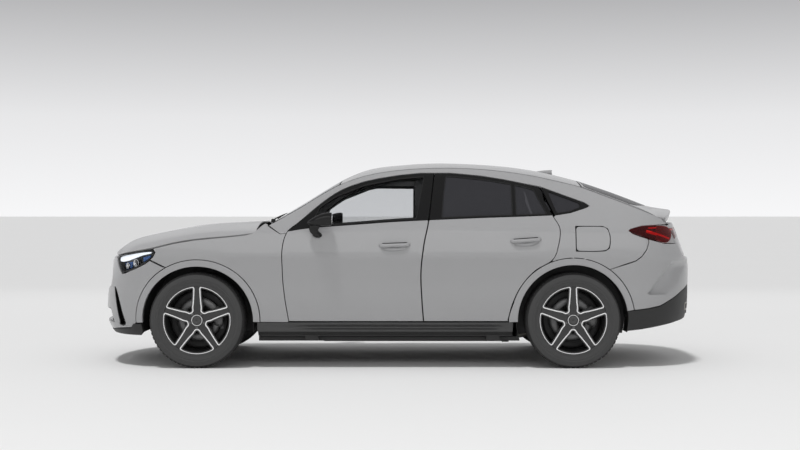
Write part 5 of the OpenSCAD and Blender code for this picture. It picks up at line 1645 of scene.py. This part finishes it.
class VEHICLE_OT_mirrors(bpy.types.Operator):
    """Door mirrors"""
    bl_idname = "vehicle.mirrors"
    bl_label = "Mirrors"

    def execute(self, context):
        form = Form()
        tops = [(-676, 1116), (-668, 1128), (-640, 1148), (-580, 1182), (-520, 1196), (-492, 1194),
                (-486, 1188)]
        lows = [(-676, 1110), (-668, 1104), (-640, 1098), (-580, 1093), (-520, 1093), (-492, 1096),
                (-486, 1102)]
        outs = [(-676, 962), (-668, 978), (-640, 1006), (-580, 1028), (-520, 1036), (-492, 1032),
                (-486, 1024)]
        ins = [(-676, 954), (-668, 944), (-640, 934), (-580, 929), (-520, 931), (-492, 936), (-486, 942)]
        rows = []
        for x in [-676, -673, -668, -660, -645, -625, -600, -570, -540, -515, -498, -490, -487, -486]:
            top, low, out, inn = (float(curve(t, x)) for t in (tops, lows, outs, ins))
            a = np.linspace(0, 2 * math.pi, 36, endpoint=False)
            c = np.sign(np.cos(a)) * np.abs(np.cos(a)) ** 0.72
            s = np.sign(np.sin(a)) * np.abs(np.sin(a)) ** 0.72
            rows.append(np.stack([np.full(36, float(x)), (out + inn) / 2 + (out - inn) / 2 * c,
                                  (top + low) / 2 + (top - low) / 2 * s], -1))
        rows = np.array(rows)
        form.grid(rows[::-1], "gloss_black", closed_v=True)
        form.add(rows[0], [tuple(range(36))], "gloss_black")
        form.add(rows[-1], [tuple(reversed(range(36)))], "gloss_black")
        middle = rows[-1].mean(0)
        glass = [middle + (p - middle) * k + [d, 0, 0] for k, d in ((0.93, 0.2), (0.92, 2.2), (0.9, 2.6))
                 for p in rows[-1]]
        glass = np.array(glass).reshape(3, 36, 3)
        form.grid(glass[::-1], "bright_metal", closed_v=True)
        form.add(glass[-1], [tuple(reversed(range(36)))], "bright_metal")
        path = smooth([(-606, 886, 1022), (-610, 912, 1032), (-620, 944, 1062), (-624, 968, 1106)], False, 5)
        form.tube(path, np.interp(np.arange(len(path)), [0, len(path) - 1], [50, 38]), "gloss_black",
                  sides=20, flat=0.62, normal=(0, 0.7, 0.7))
        for side, made, body in (("right", form, "door_fr"), ("left", form.mirrored(), "door_fl")):
            made.make(f"mirror_dressed_{side}", body, "gloss_black", (f"mirror_{side}",))
        return {"FINISHED"}


def pad(form, outline, y0, y1, edge, finish, swell=8.0, channels=0, bolster=0.0):
    """Stuffed pad: a side outline swept across, pulled in at its sides and crowned in the middle."""
    loop = smooth(outline, True, 6)
    loop = loop if area(loop) > 0 else loop[::-1]
    middle = loop.mean(0)
    a = np.linspace(-1, 1, 29)
    share = np.sin(a * math.pi / 2) * 0.5 + a * 0.5
    out = loop - middle
    out = out / np.linalg.norm(out, axis=1, keepdims=True)
    rows = []
    for w in share:
        rim = np.clip((abs(w) * (y1 - y0) / 2 - ((y1 - y0) / 2 - edge)) / edge, 0, 1)
        shrink = edge * (1 - math.sqrt(max(1 - rim * rim, 0)))
        puff = swell * (1 - abs(w) ** 2.2)
        if channels:
            puff -= 3.5 * math.exp(-((w * channels) - round(w * channels)) ** 2 / 0.012) * (abs(w) < 0.72)
        puff += bolster * math.exp(-((abs(w) - 0.8) / 0.14) ** 2)
        puff -= 5 * math.exp(-((abs(w) - 0.6) / 0.03) ** 2)
        ring = inset(loop, shrink) + out * puff
        y = (y0 + y1) / 2 + w * (y1 - y0) / 2
        rows.append(np.stack([ring[:, 0], np.full(len(ring), y), ring[:, 1]], -1))
    rows = np.array(rows)
    form.grid(rows[::-1], finish, closed_v=True)
    n = len(loop)
    form.add(rows[0], [tuple(reversed(range(n)))], finish)
    form.add(rows[-1], [tuple(range(n))], finish)


SEAT_PAD = [(-352, 336), (-372, 400), (-362, 458), (-326, 478), (-220, 470), (-60, 446), (60, 446),
            (106, 470), (126, 420), (120, 340)]
SEAT_BACK = [(76, 462), (106, 434), (158, 430), (202, 472), (258, 640), (326, 860), (358, 990), (348, 1016),
             (316, 1020), (276, 1004), (222, 880), (156, 680)]
HEAD_PAD = [(304, 1062), (332, 1050), (370, 1062), (392, 1120), (398, 1188), (382, 1202), (356, 1196),
            (326, 1130)]
BENCH_PAD = [(524, 336), (504, 420), (514, 470), (562, 478), (760, 456), (880, 458), (930, 458), (930, 340)]
BENCH_BACK = [(880, 478), (938, 476), (996, 482), (1056, 604), (1134, 800), (1188, 936), (1174, 962),
              (1124, 962), (1072, 900), (968, 664)]
BENCH_HEAD = [(1144, 992), (1172, 984), (1206, 996), (1228, 1050), (1230, 1086), (1204, 1098), (1182, 1086)]


class VEHICLE_OT_seats(bpy.types.Operator):
    """Padded front seats and rear bench"""
    bl_idname = "vehicle.seats"
    bl_label = "Seats"

    def execute(self, context):
        form = Form()
        stitches = []
        for y in (-370.0, 370.0):
            pad(form, SEAT_PAD, y - 250, y + 250, 40, "leather", 6, 4, 10)
            pad(form, SEAT_BACK, y - 238, y + 238, 34, "leather", 5, 4, 8)
            pad(form, HEAD_PAD, y - 130, y + 130, 28, "leather", 4)
            form.block((-310, y - 215, 234), (60, y + 215, 336), "cabin_plastic", 14)
            for s in (-1, 1):
                form.tube([(344, y + s * 60, 985), (362, y + s * 60, 1082)], 7, "bright_metal", sides=12)
            for s in (-0.6, 0.6):
                line = paced([(-340, 470), (-220, 474), (-60, 450), (60, 450)], 9)
                stitches.append(np.stack([line[:, 0], np.full(len(line), y + s * 250), line[:, 1] + 1.5], -1))
        seats = form.make("front_seats_dressed", BODY, "seat_leather", ("front_seats",), 60)
        bench = Form()
        for y0, y1 in ((-632.0, -222.0), (-218.0, 218.0), (222.0, 632.0)):
            pad(bench, BENCH_PAD, y0, y1, 36, "leather", 5, 3, 5)
            pad(bench, BENCH_BACK, y0, y1, 32, "leather", 4, 3, 4)
            middle = (y0 + y1) / 2
            pad(bench, BENCH_HEAD, middle - 108, middle + 108, 22, "leather", 3)
            for s in (-1, 1):
                bench.tube([(1160, middle + s * 50, 940), (1176, middle + s * 50, 1006)], 6, "bright_metal",
                           sides=10)
        bench.block((546, -610, 234), (930, 610, 340), "cabin_plastic", 10)
        soft = bench.make("rear_bench_dressed", BODY, "seat_leather", ("rear_bench",), 60)
        spots = np.concatenate(stitches)
        thread = repeated("seat_stitches", spots, np.tile([(1.0, 0, 0)], (len(spots), 1)), (6, 1.8, 1.8),
                          "thread")
        settle(thread, BODY)
        return {"FINISHED"}


class VEHICLE_OT_cabin(bpy.types.Operator):
    """Dashboard with screens and vents, console, steering wheel and carpet"""
    bl_idname = "vehicle.cabin"
    bl_label = "Cabin"

    def execute(self, context):
        form = Form()
        section = smooth([(-1034, 660), (-1034, 960), (-958, 990), (-946, 1046), (-860, 1062), (-760, 1070),
                          (-660, 1050), (-620, 1010), (-618, 960), (-648, 860), (-740, 720), (-860, 650)],
                          True, 5)
        section = section if area(section) > 0 else section[::-1]
        rows = []
        for y in np.linspace(-684, 684, 31):
            bow = 26 * (abs(y) / 684) ** 3
            rows.append(np.stack([section[:, 0] + bow * (section[:, 0] > -800), np.full(len(section), y),
                                  section[:, 1] - 0.3 * bow], -1))
        rows = np.array(rows)
        form.grid(rows[::-1], "cabin_plastic", closed_v=True)
        n = len(section)
        form.add(rows[0], [tuple(reversed(range(n)))], "cabin_plastic")
        form.add(rows[-1], [tuple(range(n))], "cabin_plastic")
        form.block((-652, -560, 1010), (-612, -120, 1124), "screen", 10)
        form.block((-640, -110, 980), (-606, 190, 1100), "screen", 10)
        form.block((-770, -92, 332), (96, 92, 560), "cabin_plastic", 22)
        form.block((-560, -80, 556), (-240, 80, 574), "gloss_black", 7)
        form.block((-200, -86, 556), (90, 86, 640), "leather", 26)
        form.tube([(-450, 0, 570), (-440, 0, 640)], np.array([18.0, 26.0]), "leather", sides=16,
                  normal=(1, 0, 0))
        axis = np.array([math.sin(math.radians(66)), 0, math.cos(math.radians(66))])
        hub = np.array([-470.0, -370.0, 985.0])
        form.tube([hub - axis * 190, hub - axis * 24], 36, "cabin_plastic", sides=24)
        form.tube([hub - axis * 45, hub + axis * 4], 10, "chassis_metal", sides=16)
        form.make("dashboard_dressed", BODY, "cabin_plastic", ("dashboard",))
        spots = []
        for y in (-600.0, -20.0, 80.0, 600.0):
            for z in np.linspace(930, 968, 5):
                spots.append((-612, y, z))
        slats = repeated("vent_slats", spots, np.tile([(0.0, 1, 0)], (len(spots), 1)), (86, 20, 3),
                         "gloss_black")
        settle(slats, BODY)
        self.wheel(hub)
        self.engine()
        mat = Form()
        mat.block((-1030, -690, 233), (500, -104, 240), "carpet", 3)
        mat.block((-1030, 104, 233), (500, 690, 240), "carpet", 3)
        mat.block((1010, -560, 432), (1900, 560, 440), "carpet", 3)
        mat.make("carpets", BODY, "cabin_plastic")
        return {"FINISHED"}

    def engine(self):
        """Engine under a ribbed cover, with pulleys and a hose."""
        low, high = (np.array(v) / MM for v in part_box("engine_block"))
        middle = (low + high) / 2
        form = Form()
        form.block(low, high - [0, 0, 80], "chassis_metal", 20)
        form.block((low[0] + 24, low[1] + 24, high[2] - 96), high - [24, 24, 0], "black_plastic", 26)
        forward = ((0, 0, -1), (0, 1, 0), (1, 0, 0))
        for across, up, r in ((0.0, 110.0, 74.0), (-120.0, 220.0, 46.0), (124.0, 232.0, 52.0)):
            rim = [(0.01, 0), (r, 0), (r, 8), (r - 7, 12), (r - 7, 18), (r, 22), (r, 30), (r - 14, 30),
                   (r - 18, 20), (0.01, 20)]
            form.spin(rim, "disc_steel", (low[0], middle[1] + across, low[2] + up), forward, 40)
        hose = smooth([(middle[0], low[1] + 10, high[2] - 120), (middle[0] - 60, low[1] - 60, high[2] - 110),
                       (low[0] - 60, low[1] - 70, high[2] - 120),
                       (low[0] - 110, low[1] + 60, high[2] - 150)], False, 8)
        form.tube(hose, 30 + 2 * np.cos(np.arange(len(hose)) * math.pi), "black_plastic", sides=18)
        form.make("engine_dressed", BODY, "chassis_metal", ("engine_block",))
        across = np.linspace(low[1] + 80, high[1] - 80, 9)
        spots = np.stack([np.full(9, middle[0]), across, np.full(9, high[2])], -1)
        ribs = repeated("engine_ribs", spots, np.tile([(1.0, 0, 0)], (9, 1)),
                        (high[0] - low[0] - 150, 14, 10), "black_plastic")
        settle(ribs, BODY)

    def wheel(self, hub):
        """Steering wheel with a plain hub."""
        form = Form()
        a = np.linspace(0, 2 * math.pi, 72, endpoint=False)
        r = 170 - 10 * np.exp(-((a - 1.5 * math.pi) / 0.45) ** 2)
        ring = np.stack([r * np.cos(a), r * np.sin(a), 0 * a], -1)
        form.tube(ring, 15.0, "leather", sides=16, closed=True)
        loop = smooth([(-72, 40), (0, 56), (72, 40), (66, -30), (34, -72), (-34, -72), (-66, -30)], True, 6)
        form.shell((lambda u, v: np.stack([u, v, 24 - 0.0016 * (u * u + v * v)], -1), 1), [loop],
                   "cabin_plastic", step=16, radius=8, depth=44)
        for angle in (0, 180, 270):
            t = math.radians(angle)
            way = np.array([math.cos(t), math.sin(t), 0])
            path = np.array([way * d + [0, 0, 2 - 3 * (d > 120)] for d in (40.0, 80, 120, 158)])
            form.tube(path, np.array([26.0, 22, 18, 18]), "gloss_black", sides=14, flat=0.35,
                      normal=(0, 0, 1))
        c = math.cos(math.radians(66))
        s = math.sin(math.radians(66))
        tilt = np.array([[c, 0, s], [0, 1, 0], [-s, 0, c]])
        quarter = np.array([[0.0, -1, 0], [1, 0, 0], [0, 0, 1]])
        form.turned(tilt @ quarter, hub)
        form.make("steering_wheel_dressed", "steering_wheel", "cabin_leather", ("steering_wheel",), 50)


class VEHICLE_OT_stage(bpy.types.Operator):
    """Pale floor, soft light and the camera of the photograph"""
    bl_idname = "vehicle.stage"
    bl_label = "Stage"

    def execute(self, context):
        scene = context.scene
        settings = scene.vehicle
        mesh = bpy.data.meshes.new("floor")
        mesh.from_pydata([(-600, -600, 0), (600, -600, 0), (600, 600, 0), (-600, 600, 0)], [], [(0, 1, 2, 3)])
        floor = bpy.data.objects.new("floor", mesh)
        scene.collection.objects.link(floor)
        ground = solid("floor_finish", tuple(settings.floor), tuple(0.98 * c for c in settings.floor), 0.4,
                       0.75, 0.1)
        mesh.materials.append(ground.material)
        world = bpy.data.worlds.new("studio")
        scene.world = world
        world.use_nodes = True
        tree = world.node_tree
        tree.nodes.clear()
        ways = tree.nodes.new("ShaderNodeLightPath")
        seen = Value(tree, ways.outputs["Is Camera Ray"])
        seen = seen.sum("MAXIMUM", seen, Value(tree, ways.outputs["Is Glossy Ray"]))
        seen = seen.sum("MAXIMUM", seen, Value(tree, ways.outputs["Is Transmission Ray"]))
        lit = tree.nodes.new("ShaderNodeBackground")
        lit.inputs["Color"].default_value = (1, 1, 1, 1)
        lit.inputs["Strength"].default_value = 0.4
        shown = tree.nodes.new("ShaderNodeBackground")
        spot = tree.nodes.new("ShaderNodeTexCoord")
        parts = tree.nodes.new("ShaderNodeSeparateXYZ")
        tree.links.new(spot.outputs["Generated"], parts.inputs[0])
        ramp = tree.nodes.new("ShaderNodeValToRGB")
        stops = ramp.color_ramp.elements
        stops[0].position = 0.0
        stops[0].color = (0.93, 0.93, 0.94, 1)
        stops[1].position = 0.17
        stops[1].color = (0.40, 0.40, 0.41, 1)
        bend = stops.new(0.07)
        bend.color = (0.80, 0.80, 0.81, 1)
        tree.links.new(parts.outputs["Z"], ramp.inputs["Fac"])
        tree.links.new(ramp.outputs["Color"], shown.inputs["Color"])
        mix = tree.nodes.new("ShaderNodeMixShader")
        tree.links.new(seen.socket, mix.inputs[0])
        tree.links.new(lit.outputs[0], mix.inputs[1])
        tree.links.new(shown.outputs[0], mix.inputs[2])
        out = tree.nodes.new("ShaderNodeOutputWorld")
        tree.links.new(mix.outputs[0], out.inputs["Surface"])
        for name, place, aim, size, power in (("top_light", (0, 0.2, 5.6), (0, 0, 0), (12.0, 4.5), 20),
                                              ("near_light", (0, -9.0, 4.4), (0, 0, 0.6), (20.0, 3.0), 220),
                                              ("far_light", (0, 9.0, 4.4), (0, 0, 0.6), (20.0, 3.0), 70)):
            lamp = bpy.data.lights.new(name, "AREA")
            lamp.shape = "RECTANGLE"
            lamp.size, lamp.size_y = size
            lamp.energy = power
            light = bpy.data.objects.new(name, lamp)
            light.location = place
            light.rotation_euler = (Vector(aim) - Vector(place)).to_track_quat("-Z", "Y").to_euler()
            scene.collection.objects.link(light)
        lamp = bpy.data.lights.new("key_light", "SUN")
        lamp.energy = 1.65
        lamp.angle = math.radians(7)
        light = bpy.data.objects.new("key_light", lamp)
        light.rotation_euler = Vector((0.14, 0.2, -1.0)).to_track_quat("-Z", "Y").to_euler()
        light.visible_glossy = False
        scene.collection.objects.link(light)
        lens = bpy.data.cameras.new("camera")
        lens.sensor_width = 36.0
        lens.lens = settings.lens
        lens.shift_y = -0.01375
        lens.clip_end = 3000.0
        camera = bpy.data.objects.new("camera", lens)
        camera.location = (0.033, -settings.distance, settings.eye_height)
        camera.rotation_euler = (math.pi / 2, 0, 0)
        scene.collection.objects.link(camera)
        scene.camera = camera
        scene.view_settings.view_transform = "Standard"
        return {"FINISHED"}


class VehicleSettings(bpy.types.PropertyGroup):
    """Colours of the vehicle and the place of the camera"""
    paint: bpy.props.FloatVectorProperty(name="Paint", description="Colour of the painted panels",
                                         subtype="COLOR", size=3, min=0.0, max=1.0,
                                         default=(0.358, 0.358, 0.364))
    trim: bpy.props.FloatVectorProperty(name="Trim", description="Colour of the unpainted plastic",
                                        subtype="COLOR", size=3, min=0.0, max=1.0,
                                        default=(0.013, 0.013, 0.013))
    leather: bpy.props.FloatVectorProperty(name="Leather", description="Colour of the seats",
                                           subtype="COLOR", size=3, min=0.0, max=1.0,
                                           default=(0.03, 0.03, 0.031))
    floor: bpy.props.FloatVectorProperty(name="Floor", description="Colour of the floor", subtype="COLOR",
                                         size=3, min=0.0, max=1.0, default=(0.82, 0.82, 0.82))
    distance: bpy.props.FloatProperty(name="Distance", description="Camera's distance from the vehicle",
                                      unit="LENGTH", min=4.0, max=40.0, default=11.35)
    eye_height: bpy.props.FloatProperty(name="Eye height", description="Camera's height above the floor",
                                        unit="LENGTH", min=0.2, max=6.0, default=1.183)
    lens: bpy.props.FloatProperty(name="Lens", description="Focal length of the camera", min=20.0, max=200.0,
                                  default=61.28)


STEPS = (VEHICLE_OT_stage, VEHICLE_OT_finishes, VEHICLE_OT_doors, VEHICLE_OT_side_frames, VEHICLE_OT_roof,
         VEHICLE_OT_fenders, VEHICLE_OT_front_end, VEHICLE_OT_bonnet, VEHICLE_OT_rear_end, VEHICLE_OT_wheels,
         VEHICLE_OT_brakes, VEHICLE_OT_mirrors, VEHICLE_OT_seats, VEHICLE_OT_cabin)


class VEHICLE_PT_panel(bpy.types.Panel):
    """Settings and steps of the vehicle"""
    bl_idname = "VEHICLE_PT_panel"
    bl_label = "Sport utility vehicle"
    bl_space_type = "VIEW_3D"
    bl_region_type = "UI"
    bl_category = "Vehicle"

    def draw(self, context):
        settings = context.scene.vehicle
        for name in ("paint", "trim", "leather", "floor", "distance", "eye_height", "lens"):
            self.layout.prop(settings, name)
        for step in STEPS:
            self.layout.operator(step.bl_idname)


CLASSES = (VehicleSettings, *STEPS, VEHICLE_PT_panel)


def register():
    for item in CLASSES:
        bpy.utils.register_class(item)
    bpy.types.Scene.vehicle = bpy.props.PointerProperty(type=VehicleSettings)


def unregister():
    del bpy.types.Scene.vehicle
    for item in reversed(CLASSES):
        bpy.utils.unregister_class(item)


def main():
    register()
    for step in STEPS:
        group, name = step.bl_idname.split(".")
        getattr(getattr(bpy.ops, group), name)()


if __name__ == "__main__":
    main()
